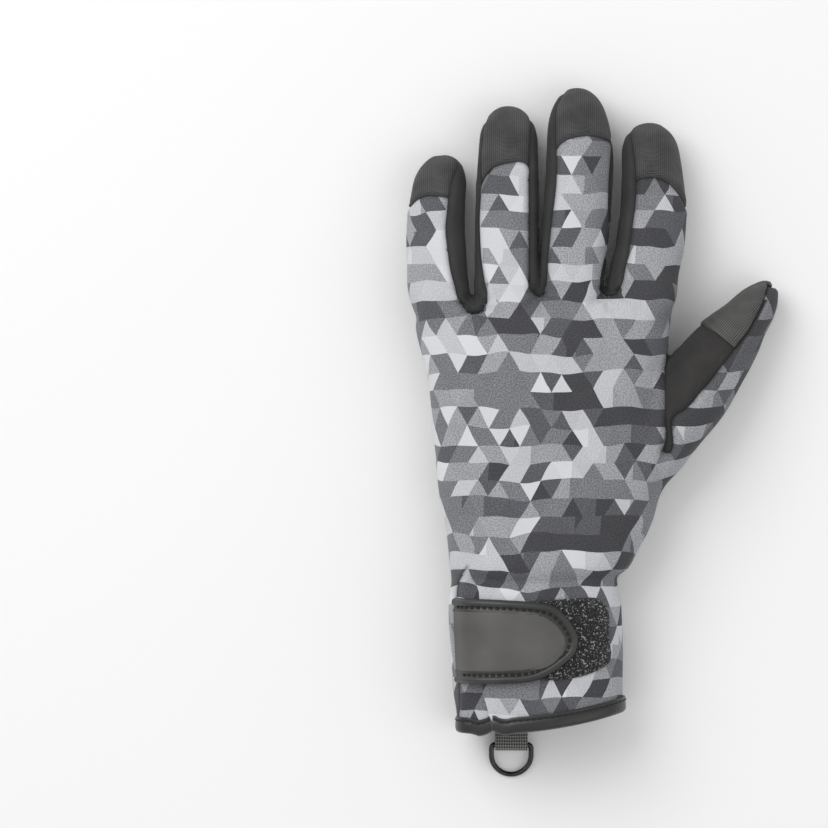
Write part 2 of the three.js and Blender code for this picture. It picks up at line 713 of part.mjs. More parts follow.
// Binding folded over the cuff's edge
const hemEdge = -seamGap - hemPly;
const hemWay = (y) => [-palmWidth, palmWidth].map((x) => new THREE.Vector2(x, y + hemSlope * x));
const hemBand = prism([...hemWay(hemEdge), ...hemWay(hemDepth).reverse()], below, above);
const hemChannel = skin([hand], -wall - seamGap, seamGap, -beyond).intersect(
  prism([...hemWay(-seamGap), ...hemWay(hemDepth + beyond).reverse()], below, above),
);
const hemWalls = skin([hand], -wall - seamGap - hemPly, seamGap + hemPly, -beyond).intersect(hemBand);
const hemBinding = hemWalls.subtract(hemChannel).subtract(slitCutter(slitWidth * 2));
meshOf("cuff_binding", largest(hemBinding), coatedBinding);

// Webbing loop and ring at the edge of the palm side
const cuff = sectionAt(hand, 0);
const ringMiddle = cuff.middle + ringPlace * cuff.half;
const tabFloor = sole + wall + seamGap + hemPly + seamGap + tabRise;
const tabTop = tabFloor + tabPly;
const barHole = ringWire / 2 + seamGap;
const tabRound = barHole + tabPly;
const barHeight = tabTop - tabRound;
const barPlace = hemSlope * ringMiddle + hemEdge - tabReach;
const ringDroop = Math.asin((barHeight - ringWire / 2 - 0.1) / ringDepth);

function tabSolid() {
  const shape = new THREE.Shape();
  const inner = hemSlope * ringMiddle + tabSewn;
  const meet = Math.asin((tabFloor - barHeight) / tabRound);
  shape.moveTo(inner, tabTop);
  shape.lineTo(barPlace, tabTop);
  shape.absarc(barPlace, barHeight, tabRound, Math.PI / 2, meet + 2 * Math.PI, false);
  shape.lineTo(inner, tabFloor);
  const hole = new THREE.Path();
  hole.absarc(barPlace, barHeight, barHole, 0, 2 * Math.PI, true);
  shape.holes.push(hole);
  const settings = { depth: tabWidth, bevelEnabled: false, curveSegments: 10 };
  const geometry = new THREE.ExtrudeGeometry(shape, settings);
  geometry.rotateY(Math.PI / 2);
  geometry.rotateX(Math.PI / 2);
  geometry.translate(ringMiddle - tabWidth / 2, 0, 0);
  return manifoldOf(geometry);
}

meshOf("ring_tab", tabSolid(), webbing);

// The ring's middle line, seen square on: a bar, two short sides and a half circle
function ringLine() {
  const half = (ringInside + ringWire) / 2;
  const side = ringDepth - half;
  const arc = (x, y, r, from, to, steps) =>
    Array.from({ length: steps + 1 }, (_, i) => {
      const t = THREE.MathUtils.degToRad(from + ((to - from) * i) / steps);
      return new THREE.Vector2(x + r * Math.cos(t), y + r * Math.sin(t));
    });
  return [
    ...arc(-half + ringCorner, ringCorner * -1, ringCorner, 180, 90, 3),
    ...arc(half - ringCorner, -ringCorner, ringCorner, 90, 0, 3),
    ...arc(0, -side, half, 0, -180, circleSteps.bow),
  ];
}

function ringWireSolid() {
  const line = ringLine();
  const points = [];
  const faces = [];
  const sides = circleSteps.wire;
  line.forEach((p, i) => {
    const before = line[(i + line.length - 1) % line.length];
    const after = line[(i + 1) % line.length];
    const a = p.clone().sub(before).normalize();
    const b = after.clone().sub(p).normalize();
    const out = new THREE.Vector2(a.y + b.y, -a.x - b.x).normalize();
    const mitre = ringWire / 2 / Math.max(out.dot(new THREE.Vector2(a.y, -a.x)), 0.5);
    for (let k = 0; k < sides; k++) {
      const t = (2 * Math.PI * (k + 0.5)) / sides;
      const spot = p.clone().addScaledVector(out, Math.cos(t) * mitre);
      points.push(new THREE.Vector3(spot.x, spot.y, (Math.sin(t) * ringWire) / 2));
    }
  });
  for (let i = 0; i < line.length; i++) {
    const next = ((i + 1) % line.length) * sides;
    for (let k = 0; k < sides; k++) {
      const a = i * sides + k;
      const b = i * sides + ((k + 1) % sides);
      const c = next + ((k + 1) % sides);
      const d = next + k;
      faces.push(a, c, b, a, d, c);
    }
  }
  return manifoldOf(geometryOf(points, faces));
}

const ring = meshOf("d_ring", ringWireSolid(), gunmetal);
ring.position.set(ringMiddle, barPlace, barHeight);
ring.rotation.x = ringDroop;

// The origin is under the middle of the whole glove
const box = new THREE.Box3().setFromObject(glove);
const middle = box.getCenter(new THREE.Vector3());
glove.position.set(-middle.x, -middle.y, -box.min.z);

export default glove;
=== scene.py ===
import math
import bmesh
import bpy
import numpy as np
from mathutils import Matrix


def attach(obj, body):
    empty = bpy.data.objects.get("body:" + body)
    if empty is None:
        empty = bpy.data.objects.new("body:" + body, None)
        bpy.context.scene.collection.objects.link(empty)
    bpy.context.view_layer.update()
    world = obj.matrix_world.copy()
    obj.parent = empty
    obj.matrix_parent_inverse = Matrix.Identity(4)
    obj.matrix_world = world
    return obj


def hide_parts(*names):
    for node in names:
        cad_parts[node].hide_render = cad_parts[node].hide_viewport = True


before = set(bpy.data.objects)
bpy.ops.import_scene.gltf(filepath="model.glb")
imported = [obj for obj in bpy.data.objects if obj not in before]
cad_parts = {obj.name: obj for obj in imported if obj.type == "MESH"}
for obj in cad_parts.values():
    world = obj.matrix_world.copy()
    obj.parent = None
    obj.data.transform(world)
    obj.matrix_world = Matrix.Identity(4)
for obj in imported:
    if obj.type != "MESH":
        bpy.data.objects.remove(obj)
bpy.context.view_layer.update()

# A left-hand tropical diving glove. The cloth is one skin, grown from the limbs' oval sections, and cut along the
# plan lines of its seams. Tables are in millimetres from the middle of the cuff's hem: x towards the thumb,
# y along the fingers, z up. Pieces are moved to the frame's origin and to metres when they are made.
import openvdb
from mathutils import Vector, bvhtree, kdtree

frameOrigin = np.array([19.86, 110.11, 0.0])
gloveBody = "glove_body"
ringBody = "ring_body"


def smoothColumn(rows, column, at):
    # one column of a table, read smoothly between its rows
    rows = np.asarray(rows, float)
    x, y = rows[:, 0], rows[:, column]
    i = np.clip(np.searchsorted(x, at, "right") - 1, 0, len(x) - 2)
    slope = np.empty(len(x))
    slope[1:-1] = (y[2:] - y[:-2]) / (x[2:] - x[:-2])
    slope[0] = (y[1] - y[0]) / (x[1] - x[0])
    slope[-1] = (y[-1] - y[-2]) / (x[-1] - x[-2])
    span = x[i + 1] - x[i]
    u = np.clip((at - x[i]) / span, 0, 1)
    return (y[i] * (2 * u**3 - 3 * u**2 + 1) + slope[i] * span * (u**3 - 2 * u**2 + u)
            + y[i + 1] * (3 * u**2 - 2 * u**3) + slope[i + 1] * span * (u**3 - u**2))


def smoothLine(points, steps=5, closed=False):
    # a curve through the points
    p = np.asarray(points, float)
    if closed:
        p = np.vstack([p[-1], p, p[:2]])
    else:
        p = np.vstack([2 * p[0] - p[1], p, 2 * p[-1] - p[-2]])
    made = []
    for a, b, c, d in zip(p[:-3], p[1:-2], p[2:-1], p[3:]):
        for k in range(steps):
            t = k / steps
            made.append(b + 0.5 * t * (c - a + t * (2 * a - 5 * b + 4 * c - d + t * (3 * (b - c) + d - a))))
    if not closed:
        made.append(p[-2])
    return np.array(made)


def easeStep(low, high, value):
    t = np.clip((value - low) / (high - low), 0, 1)
    return t * t * (3 - 2 * t)


def lineDistance(points, line):
    # seen from above
    xy = points[:, :2]
    best = np.full(len(xy), 1e9)
    for a, b in zip(line[:-1], line[1:]):
        way = b - a
        t = np.clip(((xy - a) @ way) / max(way @ way, 1e-9), 0, 1)
        gap = xy - a - t[:, None] * way
        best = np.minimum(best, (gap * gap).sum(1))
    return np.sqrt(best)


def insideBy(points, outline, far=6.0):
    # how far a point lies inside a plan outline; negative outside
    outline = np.asarray(outline, float)
    low, high = outline.min(0) - far, outline.max(0) + far
    near = ((points[:, :2] > low) & (points[:, :2] < high)).all(1)
    made = np.full(len(points), -far)
    xy = points[near, :2]
    best = np.full(len(xy), 1e9)
    inside = np.zeros(len(xy), bool)
    for a, b in zip(outline, np.roll(outline, -1, 0)):
        way = b - a
        t = np.clip(((xy - a) @ way) / max(way @ way, 1e-9), 0, 1)
        gap = xy - a - t[:, None] * way
        best = np.minimum(best, (gap * gap).sum(1))
        if a[1] != b[1]:
            crosses = (a[1] > xy[:, 1]) != (b[1] > xy[:, 1])
            inside ^= crosses & (xy[:, 0] < (b[0] - a[0]) * (xy[:, 1] - a[1]) / (b[1] - a[1]) + a[0])
    made[near] = np.where(inside, 1, -1) * np.sqrt(best)
    return made


def softMin(a, b, width):
    # the smaller of two distances, blended where they are alike
    h = np.maximum(width - np.abs(a - b), 0) / width
    return np.minimum(a, b) - h * h * width / 4


def lumps(points, size, seed):
    # smooth random heights from -1 to 1 on a lattice of that size
    lattice = np.random.default_rng(seed).uniform(-1, 1, (32, 32, 32))
    p = points / size
    cell = np.floor(p).astype(int)
    f = p - cell
    f = f * f * (3 - 2 * f)
    made = 0
    for i in (0, 1):
        for j in (0, 1):
            for k in (0, 1):
                weight = (np.where(i, f[:, 0], 1 - f[:, 0]) * np.where(j, f[:, 1], 1 - f[:, 1])
                          * np.where(k, f[:, 2], 1 - f[:, 2]))
                made = made + weight * lattice[(cell[:, 0] + i) % 32, (cell[:, 1] + j) % 32, (cell[:, 2] + k) % 32]
    return made


# Rows of a limb are along, middle, half width, half height, height of the middle.
skin = {"voxel": 0.9, "floor": 1.1, "webBlend": 3.5, "thumbBlend": 4.5, "fingerBlend": 0.5, "tipPower": 2.2,
        "rootRound": 8.0, "smoothing": 3, "lean": 0.04, "low": (-54.0, -9.0, -2.0), "high": (97.0, 249.0, 41.0)}
limbs = {
    "hand": {"x": 0.0, "y": 0.0, "heading": 0.0, "length": 168.0, "round": 15.0, "power": 2.45, "rows": [
        (0.0, 0.0, 31.8, 19.0, 18.0), (26.9, -1.0, 32.9, 19.4, 18.0), (45.9, -1.9, 33.1, 19.2, 18.0),
        (55.6, -1.9, 31.9, 18.2, 17.5), (61.5, -0.2, 34.5, 18.6, 17.8), (76.8, 3.1, 39.3, 18.4, 18.0),
        (88.4, 3.5, 42.2, 18.2, 18.0), (103.8, 3.8, 43.9, 18.0, 18.2), (134.6, 2.3, 45.8, 17.6, 18.4),
        (149.9, 1.3, 48.7, 16.6, 18.0), (168.0, 1.1, 50.8, 14.6, 16.4)]},
    "little": {"x": -38.3, "y": 146.0, "heading": 0.0, "length": 73.6, "round": 12.5, "power": 2.35, "rows": [
        (0.0, 5.8, 6.5, 6.5, 21.1), (15.6, 0.0, 11.3, 10.3, 20.4), (34.8, -1.6, 11.6, 10.8, 17.8),
        (48.3, -1.7, 11.2, 10.5, 15.0), (58.2, -0.8, 10.6, 10.1, 12.9), (73.6, 0.8, 9.8, 9.5, 10.5)]},
    "ring": {"x": -12.3, "y": 146.0, "heading": 0.0, "length": 92.4, "round": 14.0, "power": 2.35, "rows": [
        (0.0, 0.0, 9.1, 8.5, 21.9), (15.6, 0.0, 12.5, 11.5, 21.2), (38.8, -0.4, 12.4, 11.5, 17.9),
        (54.1, -0.2, 12.3, 11.4, 15.7), (73.1, 0.2, 11.6, 10.7, 12.9), (92.4, 0.5, 10.3, 9.9, 10.8)]},
    "middle": {"x": 11.2, "y": 146.0, "heading": 0.0, "length": 99.4, "round": 17.0, "power": 2.35, "rows": [
        (0.0, -0.7, 9.5, 8.8, 22.1), (19.4, 0.2, 12.0, 11.8, 21.1), (38.7, 1.9, 12.8, 11.8, 18.9),
        (54.2, 3.2, 13.2, 11.7, 16.7), (73.3, 4.1, 12.7, 11.1, 13.7), (99.4, 3.2, 10.8, 10.0, 10.8)]},
    "index": {"x": 38.5, "y": 146.0, "heading": 0.0, "length": 86.2, "round": 12.5, "power": 2.35, "rows": [
        (0.0, -5.4, 8.0, 7.3, 21.6), (15.6, 0.0, 13.4, 11.8, 20.3), (27.5, 1.9, 13.3, 11.8, 18.6),
        (38.7, 4.0, 13.1, 11.7, 16.7), (54.0, 5.4, 12.7, 11.3, 14.3), (73.3, 4.6, 11.2, 10.5, 11.8),
        (86.2, 3.9, 10.0, 9.8, 10.8)]},
    "thumb": {"x": 28.9, "y": 96.3, "heading": 39.9, "length": 95.2, "round": 12.5, "power": 2.3, "rows": [
        (0.0, 4.0, 12.5, 12.8, 17.4), (14.9, 5.0, 12.7, 13.9, 17.4), (29.8, 4.0, 13.7, 14.5, 17.4),
        (44.0, 2.7, 14.9, 13.8, 16.5), (60.0, 1.3, 13.6, 12.2, 14.5), (72.0, 1.2, 11.1, 11.2, 12.9),
        (79.0, 1.1, 9.1, 10.1, 11.7), (95.2, 0.7, 5.9, 7.6, 9.5)]},
}
fingerNames = ["little", "ring", "middle", "index"]


def limbFit(name, p):
    # distance to the limb's surface, and where the point stands in its section
    limb = limbs[name]
    turn = math.radians(limb["heading"])
    c, s = math.cos(turn), math.sin(turn)
    dx, dy = p[:, 0] - limb["x"], p[:, 1] - limb["y"]
    along, across = dx * s + dy * c, dx * c - dy * s
    table = np.linspace(-20, limb["length"], 300)
    middle, half, height, rise = (np.interp(along, table, smoothColumn(limb["rows"], k, table)) for k in (1, 2, 3, 4))
    if name == "hand":
        along = along - skin["lean"] * across * np.clip(along / limb["length"], 0, 1) ** 2
    sx, sz = across - middle, p[:, 2] - rise
    a, b = np.abs(sx) / half, np.abs(sz) / height
    ring = (a ** limb["power"] + b ** limb["power"]) ** (1 / limb["power"])
    over = np.maximum(along - (limb["length"] - limb["round"]), 0)
    under = np.maximum(-along, 0) * (name != "hand")
    q = skin["tipPower"]
    share = (ring**q + (over / limb["round"]) ** q + (under / skin["rootRound"]) ** q) ** (1 / q)
    reach = np.sqrt(sx**2 + sz**2 + over**2 + under**2)
    distance = np.where(share < 0.05, -np.minimum(half, height), reach - reach / np.maximum(share, 0.05))
    return {"distance": distance, "sx": sx, "sz": sz, "half": half, "height": height, "along": along}


def skinField(p):
    made = {name: limbFit(name, p)["distance"] for name in limbs}
    field = made["little"]
    for name in fingerNames[1:]:
        field = softMin(field, made[name], skin["fingerBlend"])
    field = softMin(made["hand"], field, skin["webBlend"])
    field = softMin(field, made["thumb"], skin["thumbBlend"])
    return -softMin(-field, -(skin["floor"] - p[:, 2]), 2.0)


def growSkin():
    h = skin["voxel"]
    low = np.array(skin["low"])
    count = np.ceil((np.array(skin["high"]) - low) / h).astype(int)
    field = np.empty(tuple(count), np.float32)
    y, z = np.meshgrid(np.arange(count[1]), np.arange(count[2]), indexing="ij")
    for i in range(count[0]):
        p = np.stack([np.full(y.size, i), y.ravel(), z.ravel()], 1) * h + low
        field[i] = skinField(p).reshape(y.shape)
    band = 3 * h
    grid = openvdb.FloatGrid(band)
    grid.copyFromArray(np.clip(field, -band, band).astype(np.float32))
    points, quads = grid.convertToQuads(0.0)
    points = np.asarray(points, float) * h + low
    quads = np.asarray(quads, np.int64)
    a, b, c, d = (points[quads[:, k]] for k in range(4))
    if np.einsum("ij,ij->i", np.cross(c - a, d - b), a).sum() < 0:
        quads = quads[:, ::-1]
    edges = np.unique(np.sort(np.vstack([quads[:, [k, (k + 1) % 4]] for k in range(4)]), axis=1), axis=0)
    count = np.bincount(edges.ravel(), minlength=len(points))[:, None]
    for _ in range(skin["smoothing"]):
        total = np.stack([np.bincount(edges[:, 0], points[edges[:, 1], k], len(points))
                          + np.bincount(edges[:, 1], points[edges[:, 0], k], len(points)) for k in range(3)], 1)
        points = points + 0.5 * (total / np.maximum(count, 1) - points)
    faces = np.vstack([quads[:, [0, 1, 2]], quads[:, [0, 2, 3]]])
    return points, faces


def normalsOf(points, faces):
    cross = np.cross(points[faces[:, 1]] - points[faces[:, 0]], points[faces[:, 2]] - points[faces[:, 0]])
    made = np.stack([sum(np.bincount(faces[:, c], cross[:, k], len(points)) for c in range(3)) for k in range(3)], 1)
    return made / np.maximum(np.linalg.norm(made, axis=1), 1e-12)[:, None]


class Cloth:
    # points that all cut pieces share; a cut runs along the line where a value is zero
    def __init__(self, points):
        self.points = points

    def split(self, faces, value):
        # faces where value > 0, the others, and the edges of the cut
        p = self.points
        value = np.where(np.abs(value) < 0.02, 0.02, value)
        up = value > 0
        count = up[faces].sum(1)
        inside, outside = [faces[count == 3]], [faces[count == 0]]
        mixed = faces[(count == 1) | (count == 2)]
        if len(mixed) == 0:
            return inside[0], outside[0], np.zeros((0, 2), int)
        lone = np.where((up[mixed].sum(1) == 1)[:, None], up[mixed], ~up[mixed]).argmax(1)
        rows = np.arange(len(mixed))
        a, b, c = (mixed[rows, (lone + k) % 3] for k in range(3))
        pairs = np.vstack([np.stack([a, b], 1), np.stack([a, c], 1)])
        keys = np.sort(pairs, axis=1)
        unique, index = np.unique(keys, axis=0, return_inverse=True)
        index = np.asarray(index).reshape(-1)
        va, vb = value[unique[:, 0]], value[unique[:, 1]]
        t = np.clip(va / (va - vb), 0.03, 0.97)[:, None]
        fresh = p[unique[:, 0]] * (1 - t) + p[unique[:, 1]] * t
        index = index + len(p)
        self.points = np.vstack([p, fresh])
        ab, ac = index[: len(mixed)], index[len(mixed):]
        tip = np.stack([a, ab, ac], 1)
        rest = np.vstack([np.stack([b, c, ac], 1), np.stack([b, ac, ab], 1)])
        loneUp = up[a]
        both = np.concatenate([loneUp, loneUp])
        inside += [tip[loneUp], rest[~both]]
        outside += [tip[~loneUp], rest[both]]
        edges = np.where(loneUp[:, None], np.stack([ab, ac], 1), np.stack([ac, ab], 1))
        return np.vstack(inside), np.vstack(outside), edges


def chains(edges):
    # joins cut edges end to end
    after, before = {}, {}
    for a, b in edges.tolist():
        after.setdefault(a, []).append(b)
        before.setdefault(b, []).append(a)
    used, made = set(), []
    starts = [a for a in after if a not in before] + list(after)
    for start in starts:
        if start in used:
            continue
        line, now = [start], start
        used.add(start)
        while now in after:
            step = [b for b in after[now] if b not in used]
            if not step:
                if line[0] in after[now] and len(line) > 2:
                    line.append(line[0])
                break
            now = step[0]
            used.add(now)
            line.append(now)
        if len(line) > 2:
            made.append(np.array(line))
    return made


def distanceTo(points, marks):
    # in space, to the nearest mark
    tree = kdtree.KDTree(len(marks))
    for i, m in enumerate(marks):
        tree.insert(m, i)
    tree.balance()
    return np.array([tree.find(p)[2] for p in points])


def arcLengths():
    # length round a limb's section from its top, for each height against its width
    ratios, turns = np.linspace(0.3, 2.0, 35), np.linspace(0, math.pi, 121)
    made = np.zeros((35, 121))
    for i, ratio in enumerate(ratios):
        x = np.abs(np.sin(turns)) ** (2 / 2.4)
        z = ratio * np.sign(np.cos(turns)) * np.abs(np.cos(turns)) ** (2 / 2.4)
        made[i, 1:] = np.cumsum(np.hypot(np.diff(x), np.diff(z)))
    return made


arcs = arcLengths()


def unrolled(points, under):
    # plan place, moved outwards by what the sides add, from the back of the hand or from the palm
    total, weights = np.zeros((len(points), 2)), np.zeros(len(points))
    for name, limb in limbs.items():
        fit = limbFit(name, points)
        weight = np.exp(-np.maximum(fit["distance"] + 1, 0) / 1.5) * (1 if name != "hand" else 1.5)
        a, b = np.abs(fit["sx"]) / fit["half"], fit["sz"] / fit["height"] * (-1 if under else 1)
        turn = np.arctan2(a ** 1.2, np.sign(b) * np.abs(b) ** 1.2)
        row = np.clip((fit["height"] / fit["half"] - 0.3) / 0.05, 0, 33.999)
        column = np.clip(turn / math.pi * 120, 0, 119.999)
        i, j = row.astype(int), column.astype(int)
        u, v = row - i, column - j
        lower, upper = (arcs[k, j] * (1 - v) + arcs[k, j + 1] * v for k in (i, i + 1))
        arc = lower * (1 - u) + upper * u
        extra = np.sign(fit["sx"]) * (arc * fit["half"] - np.abs(fit["sx"]))
        heading = math.radians(limb["heading"])
        total += (weight * extra)[:, None] * np.array([math.cos(heading), -math.sin(heading)])
        weights += weight
    return points[:, :2] + total / weights[:, None]


# Seams, seen from above. Each table starts at a fingertip and runs down to the fork of two fingers.
seams = {
    "little": [(-32.7, 222.0), (-31.6, 216.2), (-33.9, 209.7), (-35.0, 203.9), (-35.8, 196.2), (-36.2, 190.4),
               (-35.4, 182.7), (-34.3, 175.0), (-32.7, 169.2), (-30.8, 163.5), (-28.5, 160.0)],
    "ringLeft": [(-18.5, 237.4), (-21.6, 230.8), (-22.3, 225.1), (-23.1, 217.4), (-23.1, 209.7), (-23.9, 194.3),
                 (-23.5, 180.8), (-22.7, 175.0), (-21.6, 169.2), (-20.8, 163.5), (-22.3, 160.0)],
    "ringRight": [(-5.4, 238.9), (-3.5, 233.5), (-3.5, 228.9), (-3.9, 217.4), (-3.9, 202.0), (-3.9, 186.6),
                  (-3.9, 169.2), (-2.7, 166.6)],
    "middleLeft": [(10.0, 245.1), (7.7, 240.9), (6.2, 237.8), (5.8, 230.8), (5.8, 223.2), (6.2, 217.4), (5.8, 209.7),
                   (5.0, 202.0), (3.9, 194.3), (3.1, 186.6), (2.3, 178.9), (1.9, 171.2), (1.2, 166.9)],
    "middleRight": [(23.1, 242.0), (26.2, 235.9), (27.3, 230.8), (27.7, 221.2), (27.3, 213.5), (26.9, 205.8),
                    (26.6, 198.1), (26.6, 186.6), (24.6, 177.0), (23.5, 171.2), (23.9, 167.3)],
    "index": [(37.7, 233.5), (35.0, 229.7), (35.4, 223.2), (36.2, 217.4), (36.6, 211.6), (36.6, 205.8), (36.2, 200.1),
              (35.4, 194.3), (34.3, 186.6), (33.5, 180.8), (32.0, 175.0), (30.8, 169.2), (29.3, 166.9)],
    "thumb": [(97.5, 180.0), (90.5, 173.5), (87.8, 168.1), (85.9, 162.3), (82.8, 156.2), (79.7, 150.8), (76.2, 146.5),
              (73.2, 142.3), (68.9, 136.9), (65.1, 131.9), (61.2, 127.7), (58.5, 124.2), (55.1, 121.1), (52.4, 119.6),
              (50.1, 116.9), (50.2, 113.4), (50.8, 108.0), (49.6, 104.4)],
    "thumbNotch": [(46.9, 104.8), (48.0, 110.0), (48.2, 114.6), (47.7, 118.8), (47.5, 125.0), (47.7, 133.8),
                   (48.4, 138.8), (49.6, 142.5)],
    "thumbOutside": [(60.0, 155.5), (75.8, 166.6), (86.8, 175.6)],
}
capSeams = {
    "little": [(-53.9, 196.0), (-52.4, 197.6), (-50.8, 199.1), (-47.0, 202.5), (-42.4, 203.7), (-35.0, 202.9),
               (-26.9, 202.1)],
    "ring": [(-26.9, 204.8), (-23.1, 208.3), (-19.2, 213.7), (-15.4, 215.6), (-11.6, 216.4), (-7.7, 216.8),
             (-3.9, 215.2), (1.0, 213.0)],
    "middle": [(3.1, 219.5), (6.2, 221.8), (8.5, 224.1), (11.6, 225.6), (15.4, 226.4), (19.2, 226.8), (23.1, 226.0),
               (26.9, 224.5), (31.6, 221.8)],
    "index": [(31.6, 207.5), (36.6, 209.4), (40.4, 210.6), (44.3, 210.6), (48.1, 209.4), (52.0, 206.4), (55.1, 202.5),
              (56.2, 199.8), (58.5, 195.6)],
}
capTips = {"little": [(-26.0, 228.0), (-54.0, 228.0)], "ring": [(1.0, 246.0), (-27.0, 246.0)],
           "middle": [(31.6, 252.0), (3.1, 252.0)], "index": [(60.0, 240.0), (31.6, 240.0)]}
palmEdge = [(-37.5, 166.0), (-45.8, 158.0), (-45.4, 149.7), (-41.4, 133.3), (-39.1, 113.5), (-37.3, 91.9),
            (-33.6, 67.0), (-33.0, 32.6), (-30.4, -11.7), (14.6, -9.8), (15.7, 14.5), (17.3, 45.9),
            (23.0, 61.4), (32.5, 84.0), (36.5, 96.7), (40.8, 108.5), (44.8, 127.0), (46.7, 144.1),
            (45.7, 160.0), (31.3, 168.0), (0.0, 168.0)]
tongues = {
    "little": [(-28.6, 150.0), (-31.0, 179.3), (-31.0, 205.5), (-32.0, 209.9), (-35.0, 213.1), (-39.0, 214.3),
               (-42.9, 213.1), (-45.9, 209.9), (-46.9, 205.5), (-48.7, 179.3), (-44.2, 150.0)],
    "ring": [(-4.3, 152.0), (-4.0, 186.9), (-4.0, 218.8), (-5.1, 223.2), (-8.0, 226.4), (-12.1, 227.6),
             (-16.2, 226.4), (-19.1, 223.2), (-20.2, 218.8), (-21.4, 186.9), (-20.2, 152.0)],
    "middle": [(18.7, 152.0), (23.0, 190.5), (24.0, 225.3), (22.8, 230.0), (19.6, 233.5), (15.2, 234.8),
               (10.8, 233.5), (7.5, 230.0), (6.3, 225.3), (4.2, 190.5), (3.0, 152.0)],
    "index": [(46.7, 150.0), (52.5, 185.4), (52.0, 216.5), (50.8, 221.6), (47.6, 225.3), (43.3, 226.7), (38.9, 225.3),
              (35.7, 221.6), (34.6, 216.5), (32.6, 185.4), (27.6, 150.0)],
}
thumbBelow = [(23.0, 61.4), (32.5, 84.0), (36.5, 96.7), (40.8, 108.5), (42.7, 113.1), (47.8, 124.1), (54.9, 135.1),
              (63.4, 146.2), (73.5, 155.9), (80.6, 162.1), (86.2, 165.9), (97.3, 175.9), (86.8, 175.6), (75.8, 166.6),
              (60.0, 155.5), (48.8, 144.6), (49.3, 142.2), (45.0, 136.4), (41.2, 127.1), (35.8, 124.9), (28.2, 122.2),
              (22.1, 116.3), (16.9, 108.5), (14.6, 98.5), (12.8, 64.9)]
cuff = {"lapLine": [(-28.1, 61.1), (-26.2, 56.8), (-23.9, 52.6), (-23.3, 48.0), (-23.1, 32.6), (-22.3, 15.6),
                    (-19.6, 4.1), (-17.0, -9.0)],
        "sideLine": [(-28.1, 61.1), (-30.4, 57.6), (-32.0, 54.5), (-32.6, 49.1), (-32.6, 32.6), (-31.6, 15.6),
                     (-31.8, 2.9), (-32.3, -9.0)],
        "lapUnder": 3.0, "tuck": 2.5, "lapLift": 0.5, "hem": (-0.9, 0.124, 0.0026), "clothHem": 1.0,
        "ventFloor": 14.0, "ventTop": 61.5, "ventEase": 9.0}
folds = [
    # a negative depth is a ridge
    {"line": [(-24.0, 56.0), (-12.0, 54.8), (4.0, 54.6), (18.0, 55.2), (31.0, 56.6)], "depth": 1.1, "width": 2.0},
    {"line": [(-12.0, 60.5), (8.0, 61.5), (24.0, 61.0), (33.0, 62.5)], "depth": -0.4, "width": 4.0},
    {"line": [(47.7, 106.2), (46.8, 96.9), (42.9, 86.9), (37.0, 79.5), (34.0, 68.8)], "depth": 0.9, "width": 2.6},
    {"line": [(54.0, 100.0), (50.5, 92.0), (45.0, 84.0), (39.0, 75.0)], "depth": -0.5, "width": 3.0},
    {"line": [(49.0, 116.0), (47.5, 110.0), (47.5, 104.0)], "depth": 1.2, "width": 2.4},
]
forks = [(-25.2, 161.5, 9), (0.0, 165.5, 7), (26.5, 166.5, 7)]  # place, and gathers in a turn round it
softness = {"swell": (0.32, 17.0), "crease": (0.12, 6.5), "gather": (0.45, 5.0, 5.5), "fork": (0.5, 5.0),
            "backFrom": (12.0, 22.0), "gatherFrom": (14.0, 24.0), "floorEase": (1.0, 4.0)}

# heights at which upper and lower cuts meet, and where the thumb's patch starts along the thumb
cuts = {"side": 18.0, "fingerSide": 20.0, "fingerFall": 0.125, "fingerFrom": 146, "palmTop": 18.0, "patchTop": 17.0,
        "below": 1, "thumbAbove": 11.8, "thumbBelow": 12.2, "lap": 0.3, "thumbPatch": 66.5, "thumbPatchCurve": 0.006,
        "thumbPatchInset": 0.6}


def hemHeight(x):
    a, b, c = cuff["hem"]
    return a + b * x + c * x * x


def sideLevel(points):
    # height that parts the upper seams from the lower ones, and falls towards the fingertips
    y = points[:, 1]
    start = cuts["fingerFrom"]
    return np.where(y < start, cuts["side"], cuts["fingerSide"] - cuts["fingerFall"] * (y - start))


def joined(*values):
    return np.maximum.reduce(values)


def both(*values):
    return np.minimum.reduce(values)


def stripAbove(left, right, foot):
    return np.vstack([smoothLine(seams[left]), foot, smoothLine(seams[right])[::-1]])


webFeet = {
    "little_ring": ("little", "ringLeft", [(-27.5, 158.9), (-25.0, 158.6), (-23.0, 159.2)]),
    "ring_middle": ("ringRight", "middleLeft", [(-1.5, 165.4), (0.0, 165.0), (0.8, 165.6)]),
    "middle_index": ("middleRight", "index", [(25.0, 165.8), (26.6, 165.2), (28.4, 165.8)]),
}
webUnder = {
    "little_ring": [(-37.1, 157.4), (-12.3, 160.4), (-12.5, 173.1), (-12.7, 191.1), (-12.3, 209.1), (-11.8, 248.2),
                    (-37.5, 232.0), (-38.0, 213.4), (-39.9, 195.7), (-39.9, 181.5), (-39.2, 167.3)],
    "ring_middle": [(-12.3, 160.4), (11.2, 161.5), (12.2, 175.0), (13.9, 194.4), (15.2, 213.8), (14.6, 238.0),
                    (14.4, 254.8), (-11.8, 248.2), (-12.3, 209.1), (-12.7, 191.1), (-12.5, 173.1)],
    "middle_index": [(11.2, 161.5), (37.9, 159.3), (40.0, 171.0), (42.9, 187.7), (43.9, 204.3), (43.3, 216.8),
                     (42.4, 241.3), (14.4, 254.8), (14.6, 238.0), (15.2, 213.8), (13.9, 194.4), (12.2, 175.0)],
}

print("growing the skin")
skinPoints, skinFaces = growSkin()
skinNormals = normalsOf(skinPoints, skinFaces)


